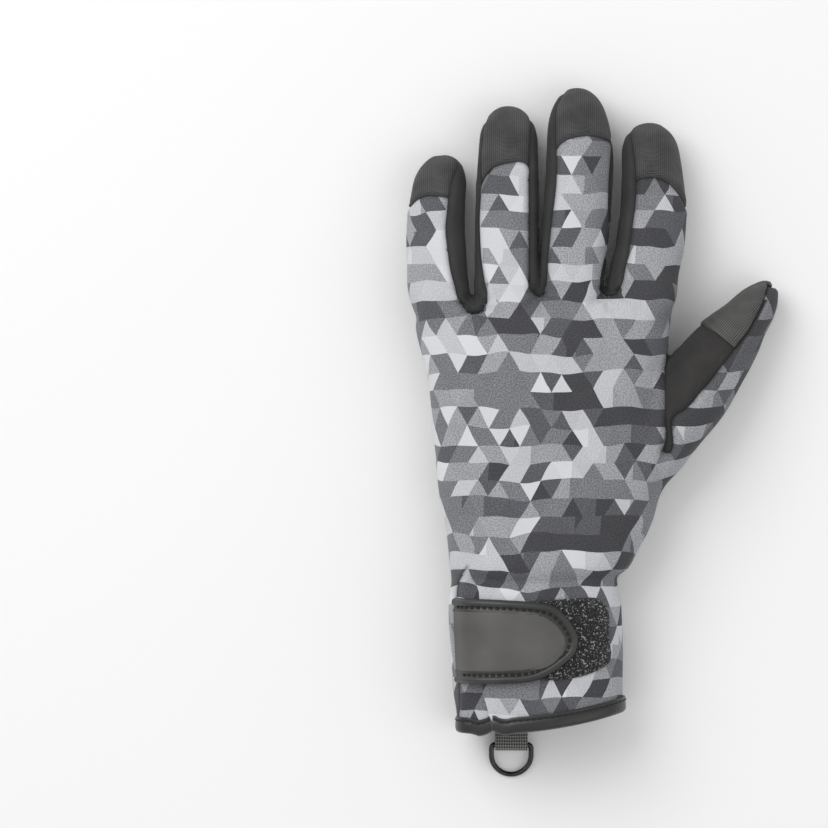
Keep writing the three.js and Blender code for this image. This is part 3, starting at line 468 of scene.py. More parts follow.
def shapeCloth(points, normals):
    # soft unevenness, folds and gathers
    (swell, swellSize), (crease, creaseSize) = softness["swell"], softness["crease"]
    gather, gatherAway, gatherWidth = softness["gather"]
    dip, dipWidth = softness["fork"]
    move = swell * lumps(points, swellSize, 3) + crease * lumps(points, creaseSize, 4)
    top = easeStep(*softness["backFrom"], points[:, 2])
    for fold in folds:
        away = lineDistance(points, smoothLine(fold["line"]))
        move -= fold["depth"] * top * np.exp(-((away / fold["width"]) ** 2))
    for n, (x, y, turns) in enumerate(forks):
        dx, dy = points[:, 0] - x, points[:, 1] - y
        away = np.hypot(dx, dy)
        pucker = np.cos(np.arctan2(dy, dx) * turns + n) * np.exp(-((away - gatherAway) / gatherWidth) ** 2)
        move += (gather * pucker * easeStep(*softness["gatherFrom"], points[:, 2])
                 - dip * np.exp(-((away / dipWidth) ** 2)) * top)
    flat = easeStep(*softness["floorEase"], points[:, 2])
    return points + normals * (move * flat)[:, None]


skinPoints = shapeCloth(skinPoints, skinNormals)
skinPoints[:, 2] = np.maximum(skinPoints[:, 2], skin["floor"])
cloth = Cloth(skinPoints)

print("cutting the panels")
seamMarks = {}


def cutPanel(faces, region, mark):
    inside, outside, edges = cloth.split(faces, region(cloth.points))
    seamMarks[mark] = edges
    return inside, outside


hemmed, _ = cutPanel(skinFaces, lambda p: p[:, 1] - hemHeight(p[:, 0]) - cuff["clothHem"], "hem")
panels = {}
rest = hemmed


def palmRegion(p):
    level = sideLevel(p) - p[:, 2]
    fingers = joined(*(insideBy(p, smoothLine(tongues[n], 3, True)) for n in fingerNames))
    return joined(both(insideBy(p, smoothLine(palmEdge, 3, True)), cuts["palmTop"] - p[:, 2]), both(fingers, level))


panels["palm"], rest = cutPanel(rest, palmRegion, "palm")


def thumbRegion(p):
    # the two outlines meet at half the thumb's height, with a little overlap
    above = np.vstack([smoothLine(seams["thumb"]), smoothLine(seams["thumbNotch"]), seams["thumbOutside"]])
    return joined(both(insideBy(p, above), p[:, 2] - cuts["thumbAbove"]),
                  both(insideBy(p, smoothLine(thumbBelow, 2, True)), cuts["thumbBelow"] - p[:, 2]))


panels["thumb"], rest = cutPanel(rest, thumbRegion, "thumb")
for webName, (left, right, foot) in webFeet.items():
    def webRegion(p):
        level = p[:, 2] - sideLevel(p)
        return joined(both(insideBy(p, stripAbove(left, right, foot)), level + cuts["lap"]),
                      both(insideBy(p, smoothLine(webUnder[webName], 2, True)), cuts["lap"] - level))
    panels["strip_" + webName], rest = cutPanel(rest, webRegion, "strip_" + webName)
for name in fingerNames:
    outline = np.vstack([smoothLine(capSeams[name]), capTips[name]])
    panels["cap_" + name], rest = cutPanel(rest, lambda p: insideBy(p, outline), "cap_" + name)


def gussetRegion(p, under):
    lap, side = smoothLine(cuff["lapLine"]), smoothLine(cuff["sideLine"])
    lap[:, 0] += under * easeStep(0.5, 8.0, lap[:, 1])
    outline = np.vstack([side[::-1], lap])
    return both(insideBy(p, outline), p[:, 2] - cuff["ventFloor"])


gussetWide, _ = cutPanel(rest, lambda p: gussetRegion(p, cuff["lapUnder"]), "gussetWide")
_, panels["back"] = cutPanel(rest, lambda p: gussetRegion(p, 0.0), "gusset")

print("cutting the overlays")
patchEdge = [(47.1, 160.7), (46.8, 145.4), (42.1, 129.8), (36.0, 127.5), (28.4, 124.8), (22.6, 118.9),
             (17.7, 111.0), (15.7, 101.2), (1.1, 103.3), (-14.4, 106.1), (-29.7, 109.9), (-38.1, 114.0),
             (-40.1, 132.5), (-44.7, 153.5)]
baseTongues = {
    "little": [(-29.2, 149.0), (-30.9, 162.5), (-31.8, 173.3), (-32.9, 177.2), (-35.7, 180.0), (-39.6, 181.0),
               (-43.5, 180.0), (-46.3, 177.2), (-47.4, 173.3), (-46.0, 162.5), (-42.4, 149.0)],
    "ring": [(-5.7, 150.0), (-4.7, 166.4), (-5.1, 179.6), (-6.2, 183.4), (-8.9, 186.2), (-12.6, 187.2),
             (-16.4, 186.2), (-19.1, 183.4), (-20.1, 179.6), (-20.0, 166.4), (-18.8, 150.0)],
    "middle": [(17.4, 150.0), (19.2, 168.2), (20.8, 182.6), (19.7, 186.7), (16.8, 189.7), (12.9, 190.8),
               (8.9, 189.7), (6.1, 186.7), (5.0, 182.6), (4.0, 168.2), (4.2, 150.0)],
    "index": [(44.6, 150.0), (48.5, 166.6), (50.5, 180.5), (49.3, 184.9), (46.1, 188.1), (41.8, 189.3), (37.4, 188.1),
              (34.2, 184.9), (33.1, 180.5), (30.4, 166.6), (28.6, 150.0)],
}
gripOutlines = {
    "little": [(-32.6, 189.4), (-32.5, 197.6), (-32.0, 205.7), (-32.9, 209.6), (-35.5, 212.4), (-38.9, 213.4),
               (-42.4, 212.4), (-44.9, 209.6), (-45.8, 205.7), (-47.1, 197.6), (-47.6, 189.4), (-40.0, 188.6)],
    "ring": [(-5.1, 204.6), (-5.1, 211.8), (-5.1, 219.0), (-6.1, 222.8), (-8.6, 225.6), (-12.1, 226.6),
             (-15.6, 225.6), (-18.1, 222.8), (-19.0, 219.0), (-19.4, 211.8), (-19.7, 204.6), (-12.4, 203.8)],
    "middle": [(22.9, 205.8), (23.2, 215.7), (22.7, 225.6), (21.7, 229.7), (18.9, 232.7), (15.2, 233.8),
               (11.4, 232.7), (8.6, 229.7), (7.6, 225.6), (7.2, 215.7), (6.6, 205.8), (14.8, 204.9)],
    "index": [(52.3, 198.7), (51.8, 207.9), (50.8, 217.1), (49.8, 221.5), (47.0, 224.7), (43.2, 225.9), (39.5, 224.7),
              (36.7, 221.5), (35.7, 217.1), (35.7, 207.9), (35.4, 198.7), (43.8, 197.9)],
}
overlays = {}


def patchRegion(p):
    level = sideLevel(p) - cuts["below"] - p[:, 2]
    fingers = joined(*(insideBy(p, smoothLine(baseTongues[n], 3, True)) for n in fingerNames))
    return joined(both(insideBy(p, patchEdge), cuts["patchTop"] - p[:, 2]), both(fingers, level))


overlays["palmPatch"], _ = cutPanel(hemmed, patchRegion, "palmPatch")
for name in fingerNames:
    outline = smoothLine(gripOutlines[name], 3, True)
    overlays["grip_" + name], _ = cutPanel(
        hemmed, lambda p: both(insideBy(p, outline), sideLevel(p) - cuts["below"] - p[:, 2]), "grip_" + name)


def thumbPatchRegion(p):
    limb = limbs["thumb"]
    turn = math.radians(limb["heading"])
    dx, dy = p[:, 0] - limb["x"], p[:, 1] - limb["y"]
    along, across = dx * math.sin(turn) + dy * math.cos(turn), dx * math.cos(turn) - dy * math.sin(turn)
    return both(thumbRegion(p) - cuts["thumbPatchInset"],
                along - cuts["thumbPatch"] + cuts["thumbPatchCurve"] * across**2)


overlays["grip_thumb"], _ = cutPanel(hemmed, thumbPatchRegion, "grip_thumb")

everyFace = np.vstack(list(panels.values()) + [gussetWide])
normals = normalsOf(cloth.points, np.vstack([everyFace] + list(overlays.values())))

print("pressing the seams")
# depth and width of the groove, then height, distance and width of the swell beside it
seamPress = {"plain": (0.85, 1.1, 0.3, 2.8, 1.5), "cap": (0.75, 1.0, 0.25, 2.6, 1.4),
             "side": (0.6, 0.9, 0.0, 1.0, 1.0), "sideEnd": 58, "floorEase": (1.0, 3.5), "tipEase": (205, 225),
             "tipShare": 0.55, "shade": 2.0}
used = np.unique(everyFace)


def seamDistance(*names):
    marks = np.intersect1d(np.vstack([seamMarks[k] for k in seamMarks if k.startswith(names)]), used)
    return distanceTo(cloth.points, cloth.points[marks])


def pressOf(kind, away):
    depth, width, swell, apart, swellWidth = seamPress[kind]
    return depth * np.exp(-((away / width) ** 2)) - swell * np.exp(-(((away - apart) / swellWidth) ** 2))


seamAway, capAway = seamDistance("palm", "thumb", "strip"), seamDistance("cap")
sideAway = lineDistance(cloth.points, smoothLine(cuff["sideLine"])) + 4 * (cloth.points[:, 2] < 12)
floorEase = easeStep(*seamPress["floorEase"], cloth.points[:, 2])
press = pressOf("plain", seamAway) + pressOf("cap", capAway)
press += pressOf("side", sideAway) * (cloth.points[:, 1] < seamPress["sideEnd"])
# shallower at the fingertips; the little finger's tip lies 15 mm lower
tipPlace = cloth.points[:, 1] + np.where(cloth.points[:, 0] < -28, 15, 0)
tipEase = 1 - seamPress["tipShare"] * easeStep(*seamPress["tipEase"], tipPlace)
cloth.points = cloth.points - normals * (press * floorEase * tipEase)[:, None]
# how far from a seam; the cloth's colour is darkened near it: painted shade in the seam grooves
paintedSeamShade = np.clip(both(seamAway, capAway, sideAway) / seamPress["shade"], 0, 1)  # 0 in a seam, 1 beside it
normals = normalsOf(cloth.points, np.vstack([everyFace] + list(overlays.values())))
backUv, palmUv = unrolled(cloth.points, False), unrolled(cloth.points, True)


def linear(hexColour):
    # sRGB hex to linear
    values = [int(hexColour[i:i + 2], 16) / 255 for i in (1, 3, 5)]
    return tuple(v / 12.92 if v < 0.04045 else ((v + 0.055) / 1.055) ** 2.4 for v in values) + (1.0,)


def addNode(tree, kind, inputs=(), stops=(), stepped=False, **settings):
    # inputs go by name or in order, and a node among them gives its first live output; stops fill a colour ramp
    made = tree.nodes.new("ShaderNode" + kind)
    for key, value in settings.items():
        setattr(made, key, value)
    if stops:
        made.color_ramp.interpolation = "CONSTANT" if stepped else "LINEAR"
        elements = made.color_ramp.elements
        while len(elements) < len(stops):
            elements.new(0.5)
        for element, (place, colour) in zip(elements, stops):
            element.position = place
            element.color = linear(colour) if isinstance(colour, str) else (colour,) * 3 + (1,)
    for key, value in inputs.items() if isinstance(inputs, dict) else enumerate(inputs):
        if isinstance(value, bpy.types.Node):
            value = next(socket for socket in value.outputs if socket.enabled)
        if isinstance(value, bpy.types.NodeSocket):
            tree.links.new(value, made.inputs[key])
        else:
            made.inputs[key].default_value = value
    return made


def newMaterial(name):
    material = bpy.data.materials.new(name)
    material.use_nodes = True
    material.node_tree.nodes.clear()
    return material, material.node_tree


def finished(material, shader):
    addNode(material.node_tree, "OutputMaterial", {"Surface": shader})
    return material


# Sublimation-printed polyester jersey on foam: matt, soft greys, with a heather grain in the darker cells.
# Rows and bases of the triangles are in millimetres. A noise of scale s has cells 1/s mm wide here: the heather's
# 0.53 mm and the knit's 0.63 mm are drawn coarser than the real 0.3 mm stitches, so that they show.
printed = {"row": 6.9, "base": 8.0, "run": 2.6, "wobble": 5.0, "wobbleScale": 0.05,
           "levels": ["#404044", "#595a5f", "#797b7f", "#9fa1a5", "#c6c7cb", "#d9dadd"],
           "stops": [0.0, 0.15, 0.35, 0.57, 0.78, 0.92], "grainShares": [0.9, 1.0, 1.0, 0.85, 0.35, 0.12],
           "grainScale": 1.9, "knitScale": 1.6, "roughness": 0.8, "sheen": 0.03,
           # shares of the triangles that join a neighbour in a rhombus, and of rows that join in runs
           "upright": 0.55, "leftward": 0.42, "rightward": 0.3, "runs": 0.3,
           "darkerAcross": -0.0036, "palerAlong": 0.0002, "shift": -0.03}


def printedJersey():
    material, tree = newMaterial("printedJersey")
    uv = addNode(tree, "UVMap", uv_map="cloth")
    plan = addNode(tree, "SeparateXYZ", [uv])
    u = plan.outputs[0]
    wobble = addNode(tree, "TexNoise", {"Vector": uv, "Scale": printed["wobbleScale"], "Detail": 1.0},
                     noise_dimensions="2D")
    sway = addNode(tree, "Math", [wobble, printed["wobble"]], operation="MULTIPLY")
    v = addNode(tree, "Math", [plan.outputs[1], sway], operation="ADD")
    j = addNode(tree, "Math", [v, printed["row"]], operation="DIVIDE")
    columns = addNode(tree, "Math", [u, printed["base"]], operation="DIVIDE")
    slant = addNode(tree, "Math", [j, 0.5], operation="MULTIPLY")
    i = addNode(tree, "Math", [columns, slant], operation="SUBTRACT")
    jFloor, iFloor, iPart, jPart = (addNode(tree, "Math", [value], operation=operation) for value, operation in (
        (j, "FLOOR"), (i, "FLOOR"), (i, "FRACT"), (j, "FRACT")))
    across = addNode(tree, "Math", [iPart, jPart], operation="ADD")
    half = addNode(tree, "Math", [across, 1.0], operation="GREATER_THAN")

    def chances(a, b, c):
        # two separate random values for one place on the print
        place = addNode(tree, "CombineXYZ", [a, b, c])
        made = addNode(tree, "TexWhiteNoise", {"Vector": place}, noise_dimensions="3D")
        return made, addNode(tree, "SeparateXYZ", [made.outputs["Color"]]).outputs[1]

    def choose(share, chance, other):
        pick = addNode(tree, "Math", [chance[0], share], operation="LESS_THAN")
        return addNode(tree, "Mix", {0: pick, 2: other, 3: chance[1]}, data_type="FLOAT")

    # a triangle takes the grey of a long run in its row, of a rhombus that leans right, left or stands, or its own
    rowPick = chances(jFloor, 3.0, 9.0)
    picked = addNode(tree, "Math", [rowPick[0], 0.5], operation="GREATER_THAN")
    leans = addNode(tree, "Math", [half, picked], operation="MULTIPLY")
    cell = addNode(tree, "Math", [iFloor, leans], operation="ADD")
    runPlace = addNode(tree, "Math", [cell, printed["run"]], operation="DIVIDE")
    start = addNode(tree, "Math", [rowPick[1], 5.0], operation="MULTIPLY")
    shifted = addNode(tree, "Math", [runPlace, start], operation="ADD")
    run = addNode(tree, "Math", [shifted], operation="FLOOR")
    side, above, beside = (addNode(tree, "Math", pair, operation="ADD") for pair in (
        [half, 2.0], [jFloor, half], [iFloor, half]))
    own = chances(iFloor, jFloor, side)
    level = choose(printed["upright"], chances(iFloor, above, 53.0), own[1])
    level = choose(printed["leftward"], chances(beside, jFloor, 37.0), level)
    level = choose(printed["rightward"], chances(iFloor, jFloor, 11.0), level)
    level = choose(printed["runs"], chances(run, jFloor, 23.0), level)
    # paler towards the fingertips, darker towards the thumb
    driftAcross = addNode(tree, "Math", [u, printed["darkerAcross"]], operation="MULTIPLY")
    driftAlong = addNode(tree, "Math", [v, printed["palerAlong"]], operation="MULTIPLY")
    drift = addNode(tree, "Math", [driftAcross, driftAlong], operation="ADD")
    offset = addNode(tree, "Math", [drift, printed["shift"]], operation="ADD")
    level = addNode(tree, "Math", [level, offset], operation="ADD")
    flat = addNode(tree, "ValToRGB", [level], list(zip(printed["stops"], printed["levels"])), True)
    tint = addNode(tree, "ValToRGB", [own[0]], [(0.0, 0.9), (1.0, 1.0)])
    colour = addNode(tree, "Mix", {0: 1.0, 6: flat, 7: tint}, data_type="RGBA", blend_type="MULTIPLY")
    grain = addNode(tree, "TexNoise", {"Vector": uv, "Scale": printed["grainScale"], "Detail": 2.0,
                                       "Roughness": 0.75}, noise_dimensions="2D")
    grainShare = addNode(tree, "ValToRGB", [level], list(zip(printed["stops"], printed["grainShares"])), True)
    heather = addNode(tree, "ValToRGB", [grain], [(0.38, 0.62), (0.62, 1.38)])
    speckle = addNode(tree, "Mix", {0: grainShare, 6: colour, 7: heather}, data_type="RGBA", blend_type="MULTIPLY")
    # darker near the seams: painted shade in their grooves
    seam = addNode(tree, "Attribute", attribute_name="seam").outputs["Fac"]
    shade = addNode(tree, "ValToRGB", [seam], [(0.0, 0.32), (0.3, 0.8), (0.75, 1.0)])
    base = addNode(tree, "Mix", {0: 1.0, 6: speckle, 7: shade}, data_type="RGBA", blend_type="MULTIPLY")
    knit = addNode(tree, "TexNoise", {"Vector": uv, "Scale": printed["knitScale"], "Detail": 3.0},
                   noise_dimensions="2D")
    bump = addNode(tree, "Bump", {"Height": knit, "Strength": 0.35, "Distance": 0.0003})
    return finished(material, addNode(tree, "BsdfPrincipled", {
        "Base Color": base, "Roughness": printed["roughness"], "Sheen Weight": printed["sheen"], "Normal": bump}))


def darkCloth(name, dark, light, roughness, sheen, grainScale, bumpDepth, ribScale=None):
    # Dyed polyester knit: its grain's cells are 0.3 to 0.5 mm wide, near the real stitches, its worn patches 11 mm.
    material, tree = newMaterial(name)
    uv = addNode(tree, "UVMap", uv_map="cloth")
    grain = addNode(tree, "TexNoise", {"Vector": uv, "Scale": grainScale, "Detail": 3.0, "Roughness": 0.7},
                    noise_dimensions="2D")
    patches = addNode(tree, "TexNoise", {"Vector": uv, "Scale": 0.09, "Detail": 2.0}, noise_dimensions="2D")
    height = grain
    if ribScale:
        bands = addNode(tree, "TexWave", {"Vector": uv, "Scale": ribScale, "Distortion": 1.2, "Detail": 1.0,
                                          "Detail Scale": 2.0}, wave_type="BANDS", bands_direction="X")
        rows = addNode(tree, "TexWave", {"Vector": uv, "Scale": ribScale * 1.3, "Distortion": 0.5},
                       wave_type="BANDS", bands_direction="Y")
        weaker = addNode(tree, "Math", [bands.outputs["Fac"], 0.6], operation="MULTIPLY")
        crossed = addNode(tree, "Math", [rows.outputs["Fac"], weaker], operation="ADD")
        height = addNode(tree, "Math", [crossed, 0.6], operation="MULTIPLY")
    fine = addNode(tree, "Math", [height, 0.6], operation="MULTIPLY")
    wide = addNode(tree, "Math", [patches, 0.4], operation="MULTIPLY")
    mixed = addNode(tree, "Math", [fine, wide], operation="ADD")
    # with ribs, each ridge comes out paler in colour: a painted highlight
    colour = addNode(tree, "ValToRGB", [mixed], [(0.3, dark), (0.75, light)])
    # darker near the seams: painted shade in their grooves
    seam = addNode(tree, "Attribute", attribute_name="seam").outputs["Fac"]
    shade = addNode(tree, "ValToRGB", [seam], [(0.0, 0.35), (0.4, 0.9), (0.8, 1.0)])
    base = addNode(tree, "Mix", {0: 1.0, 6: colour, 7: shade}, data_type="RGBA", blend_type="MULTIPLY")
    bump = addNode(tree, "Bump", {"Height": height, "Strength": 0.5, "Distance": bumpDepth})
    return finished(material, addNode(tree, "BsdfPrincipled", {
        "Base Color": base, "Roughness": roughness, "Sheen Weight": sheen, "Sheen Roughness": 0.5, "Normal": bump}))


def gripWeave(name, dark, light):
    # Polyurethane-coated nylon weave: short pale floats in a diamond lattice on a dark ground, slightly glossy.
    material, tree = newMaterial(name)
    uv = addNode(tree, "UVMap", uv_map="cloth")
    turned = addNode(tree, "Mapping", {"Vector": uv, "Rotation": (0, 0, math.radians(45))})
    plan = addNode(tree, "SeparateXYZ", [turned])
    pitch = 1.0  # drawn coarser than the real 0.5 mm, so that it shows
    waves = []
    for k in (0, 1):
        turns = addNode(tree, "Math", [plan.outputs[k], 2 * math.pi / pitch], operation="MULTIPLY")
        waves.append(addNode(tree, "Math", [turns], operation="SINE"))
    check = addNode(tree, "Math", waves, operation="MULTIPLY")
    height = addNode(tree, "Math", [check, 0.5, 0.5], operation="MULTIPLY_ADD")
    worn = addNode(tree, "TexNoise", {"Vector": uv, "Scale": 0.25, "Detail": 3.0}, noise_dimensions="2D")
    fine = addNode(tree, "Math", [height, 0.8], operation="MULTIPLY")
    wide = addNode(tree, "Math", [worn, 0.2], operation="MULTIPLY")
    mixed = addNode(tree, "Math", [fine, wide], operation="ADD")
    colour = addNode(tree, "ValToRGB", [mixed], [(0.25, dark), (0.8, light)])
    bump = addNode(tree, "Bump", {"Height": height, "Strength": 0.7, "Distance": 0.0002})
    return finished(material, addNode(tree, "BsdfPrincipled", {
        "Base Color": colour, "Roughness": 0.5, "Normal": bump}))


# Here and below a noise lies in metres, so that its cells are 1000 / scale mm wide.
def softPolymer(name, dark, light, roughness, grainScale, bumpDepth):
    # Moulded or coated polyurethane: even grey with a leathery grain of 1 to 2 mm and a soft highlight.
    material, tree = newMaterial(name)
    place = addNode(tree, "TexCoord").outputs["Object"]
    grain = addNode(tree, "TexNoise", {"Vector": place, "Scale": grainScale, "Detail": 4.0, "Roughness": 0.6})
    wide = addNode(tree, "TexNoise", {"Vector": place, "Scale": 60.0, "Detail": 2.0})
    colour = addNode(tree, "ValToRGB", [wide], [(0.3, dark), (0.7, light)])
    rough = addNode(tree, "ValToRGB", [grain], [(0.3, roughness * 0.85), (0.7, min(roughness * 1.15, 1.0))])
    bump = addNode(tree, "Bump", {"Height": grain, "Strength": 0.4, "Distance": bumpDepth})
    return finished(material, addNode(tree, "BsdfPrincipled", {
        "Base Color": colour, "Roughness": rough, "Normal": bump}))


def loopFuzz():
    # Brushed nylon loops: black pile with pale sparks, 0.9 mm apart, where single loops catch the light.
    material, tree = newMaterial("brushedNylonLoops")
    place = addNode(tree, "TexCoord").outputs["Object"]
    sparks = addNode(tree, "TexNoise", {"Vector": place, "Scale": 1100.0, "Detail": 2.0, "Roughness": 0.8})
    colour = addNode(tree, "ValToRGB", [sparks], [(0.45, "#070708"), (0.57, "#1c1c1e"), (0.67, "#acacae")])
    bump = addNode(tree, "Bump", {"Height": sparks, "Strength": 1.0, "Distance": 0.0008})
    return finished(material, addNode(tree, "BsdfPrincipled", {
        "Base Color": colour, "Roughness": 0.85, "Sheen Weight": 0.2, "Normal": bump}))


def blackNickel():
    # Black-nickel plated steel wire: dark mirror with faint handling marks some 2.5 mm wide.
    material, tree = newMaterial("blackNickel")
    place = addNode(tree, "TexCoord").outputs["Object"]
    marks = addNode(tree, "TexNoise", {"Vector": place, "Scale": 400.0, "Detail": 4.0})
    rough = addNode(tree, "ValToRGB", [marks], [(0.35, 0.16), (0.7, 0.34)])
    colour = addNode(tree, "ValToRGB", [marks], [(0.3, "#3a3a3d"), (0.7, "#4c4c50")])
    return finished(material, addNode(tree, "BsdfPrincipled", {
        "Base Color": colour, "Metallic": 1.0, "Roughness": rough}))


def threadMaterial(name, colour):
    # Bonded polyester thread: twisted every 0.4 mm, faintly shiny.
    material, tree = newMaterial(name)
    place = addNode(tree, "TexCoord").outputs["Object"]
    twist = addNode(tree, "TexNoise", {"Vector": place, "Scale": 2500.0, "Detail": 1.0})
    tint = addNode(tree, "Mix", {0: 0.5, 6: linear(colour), 7: twist}, data_type="RGBA", blend_type="MULTIPLY")
    return finished(material, addNode(tree, "BsdfPrincipled", {"Base Color": tint, "Roughness": 0.5}))


def tapeWeave():
    # Woven nylon tape: ribs 1.2 mm apart across its width, and its warp 0.95 mm apart.
    material, tree = newMaterial("wovenNylonTape")
    place = addNode(tree, "TexCoord").outputs["Object"]
    rib, cross = (addNode(tree, "TexWave", {"Vector": place, "Scale": scale, "Distortion": 0.6}, wave_type="BANDS",
                          bands_direction=way) for way, scale in (("Y", 260.0), ("X", 330.0)))
    summed = addNode(tree, "Math", [rib.outputs["Fac"], cross.outputs["Fac"]], operation="ADD")
    height = addNode(tree, "Math", [summed, 0.5], operation="MULTIPLY")
    colour = addNode(tree, "ValToRGB", [height], [(0.25, "#222222"), (0.8, "#8c8c8a")])
    bump = addNode(tree, "Bump", {"Height": height, "Strength": 0.8, "Distance": 0.0003})
    return finished(material, addNode(tree, "BsdfPrincipled", {
        "Base Color": colour, "Roughness": 0.6, "Normal": bump}))


print("mixing the materials")
materials = {
    "print": printedJersey(),
    # Brushed polyester suede under the palm: deep black-brown, dry, with a faint nap
    "suede": darkCloth("brushedSuede", "#262525", "#403e3d", 0.95, 0.06, 2.6, 0.0003),
    # Plain jersey of the finger sides: smooth dark grey
    "jersey": darkCloth("plainJersey", "#2a2a2b", "#3c3c3d", 0.85, 0.05, 2.0, 0.0002),
    # Knitted ribs of the fingertip caps, 0.75 mm apart: dark, with a painted highlight on each ridge
    "ribbed": darkCloth("ribbedKnit", "#202021", "#5f5f60", 0.8, 0.04, 2.0, 0.0005, 0.42),
    # Piping rolled from the same knit, painted paler all over to stand for the highlight on the roll
    "piping": darkCloth("rolledPiping", "#2a2a2b", "#464647", 0.8, 0.05, 3.0, 0.0002),
    # Plain dark lining, which shows at the hem only
    "lining": darkCloth("liningJersey", "#1c1c1d", "#29292a", 0.9, 0.1, 2.0, 0.0002),
    "weave": gripWeave("coatedWeave", "#262625", "#7d7d7b"),
    "thumbWeave": gripWeave("coatedWeaveDark", "#181818", "#666664"),
    # The strap's rim, its smooth welded film, and the coated tape that binds the hem
    "border": softPolymer("mouldedPolyurethane", "#2d2d2c", "#3b3b39", 0.38, 900.0, 0.0001),
    "film": softPolymer("weldedFilm", "#4d4c4a", "#5b5a58", 0.5, 500.0, 0.00005),
    "binding": softPolymer("coatedTape", "#1f1f1e", "#2d2d2c", 0.36, 900.0, 0.0001),
    "loops": loopFuzz(),
    "tape": tapeWeave(),
    "nickel": blackNickel(),
    "blackThread": threadMaterial("blackThread", "#1d1d1e"),
}


def makePiece(name, points, faces, slots, uv=None, seam=None, faceSlots=None, sharp=55):
    mesh = bpy.data.meshes.new(name)
    mesh.from_pydata(((np.asarray(points) - frameOrigin) / 1000).tolist(), [], [list(f) for f in faces])
    for key in slots:
        mesh.materials.append(materials[key])
    if uv is not None:
        layer = mesh.uv_layers.new(name="cloth")
        corners = np.zeros(len(mesh.loops), np.int32)
        mesh.loops.foreach_get("vertex_index", corners)
        layer.data.foreach_set("uv", np.asarray(uv, np.float32)[corners].ravel())
    if seam is not None:
        mesh.attributes.new("seam", "FLOAT", "POINT").data.foreach_set("value", np.asarray(seam, np.float32))
    if faceSlots is not None:
        mesh.polygons.foreach_set("material_index", np.asarray(faceSlots, np.int32))
    mesh.polygons.foreach_set("use_smooth", [True] * len(mesh.polygons))
    mesh.set_sharp_from_angle(angle=math.radians(sharp))
    mesh.validate()
    piece = bpy.data.objects.new(name, mesh)
    bpy.context.scene.collection.objects.link(piece)
    return piece


def compact(faces, *arrays):
    ids, flat = np.unique(faces, return_inverse=True)
    return (np.asarray(flat).reshape(faces.shape),) + tuple(a[ids] for a in arrays)


def edgeLoop(faces):
    # directed edges that have no twin
    pairs = np.vstack([faces[:, [0, 1]], faces[:, [1, 2]], faces[:, [2, 0]]])
    count = faces.max() + 1
    keys, twins = pairs[:, 0] * count + pairs[:, 1], pairs[:, 1] * count + pairs[:, 0]
    return pairs[~np.isin(keys, twins)]


def closedSheet(faces, count):
    # an upper and a lower face with walls round the rim, and its walls' number
    rim = edgeLoop(faces)
    walls = np.vstack([np.stack([rim[:, 1], rim[:, 0], rim[:, 0] + count], 1),
                       np.stack([rim[:, 1], rim[:, 0] + count, rim[:, 1] + count], 1)])
    return np.vstack([faces, faces[:, ::-1] + count, walls]), len(walls)


def shell(name, faces, top, bottom, slots, uv, seam=paintedSeamShade):
    # a closed ply between two heights over the cloth
    full = np.zeros(len(cloth.points))
    faces, p, n, flatUv, dark, high, low = compact(faces, cloth.points, normals, uv, seam, full + top, full + bottom)
    upper, lower = p + n * high[:, None], p + n * low[:, None]
    lower[:, 2] = np.maximum(lower[:, 2], 0.05)
    upper[:, 2] = np.maximum(upper[:, 2], 0.02)
    every, wallCount = closedSheet(faces, len(p))
    index = np.repeat([0, len(slots) - 1, 0], [len(faces), len(faces), wallCount])
    return makePiece(name, np.vstack([upper, lower]), every, slots, np.vstack([flatUv, flatUv]),
                     np.concatenate([dark, dark]), index)


wall = 1.5  # cloth and lining together


def register(piece, slot, *nodes, body=gloveBody):
    if nodes:
        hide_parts(*nodes)
    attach(piece, body)
    return piece


print("sewing the panels")
lapAway = lineDistance(cloth.points, smoothLine(cuff["lapLine"]))
taper = easeStep(0, cuff["ventEase"], cuff["ventTop"] - cloth.points[:, 1])
lift = cuff["lapLift"] * np.exp(-((lapAway / 3) ** 2)) * taper
register(shell("backCloth", panels["back"], lift, lift - wall, ["print", "lining"], backUv),
         "printed_cloth", "back_panel")
fromSide = lineDistance(cloth.points, smoothLine(cuff["sideLine"]))
tuck = -cuff["tuck"] * easeStep(0, 5, fromSide) * taper
# its print is shifted, because it is another ply
register(shell("cuffGusset", gussetWide, tuck, tuck - wall, ["print", "lining"], backUv + np.array([4.0, 5.0])),
         "printed_cloth")
register(shell("palmCloth", panels["palm"], 0, -wall, ["suede", "lining"], palmUv), "suede", "palm_panel")
register(shell("thumbCloth", panels["thumb"], 0, -wall, ["suede", "lining"], palmUv), "suede", "thumb_panel")
for webName in webFeet:
    register(shell("strip_" + webName + "_cloth", panels["strip_" + webName], 0, -wall, ["jersey", "lining"], backUv),
             "strip_cloth", "side_strip_" + webName)
# ribs run across the finger and go on over its tip
capUv = np.stack([cloth.points[:, 0], cloth.points[:, 1] - 0.9 * cloth.points[:, 2]], 1)
for name in fingerNames:
    register(shell("cap_" + name + "_cloth", panels["cap_" + name], 0, -wall, ["ribbed", "lining"], capUv),
             "ribbed_cloth", "cap_" + name)

print("laying the grip patches")
knuckleLines = [[(-46, 148.3), (-38, 148.8), (-12, 151.6), (15.7, 153.8), (38, 154.4), (48, 154.4)],
                [(-46, 143.2), (-38, 143.7), (-12, 147.2), (15.7, 149.8), (38, 150.0), (48, 150.0)],
                [(-46, 138.8), (-38, 139.3), (-12, 142.8), (15.7, 145.3), (38, 145.0), (48, 145.0)]]
grip = {"gap": 0.3, "thickness": 0.8, "edge": 0.25, "round": 1.3, "groove": 0.28, "grooveWidth": 0.7, "inset": 2.2,
        "crossGroove": 0.35, "crossWidth": 0.9, "crossFrom": 1.5, "thread": 0.27, "stitch": 1.9, "between": 0.7,
        "proud": 0.08}


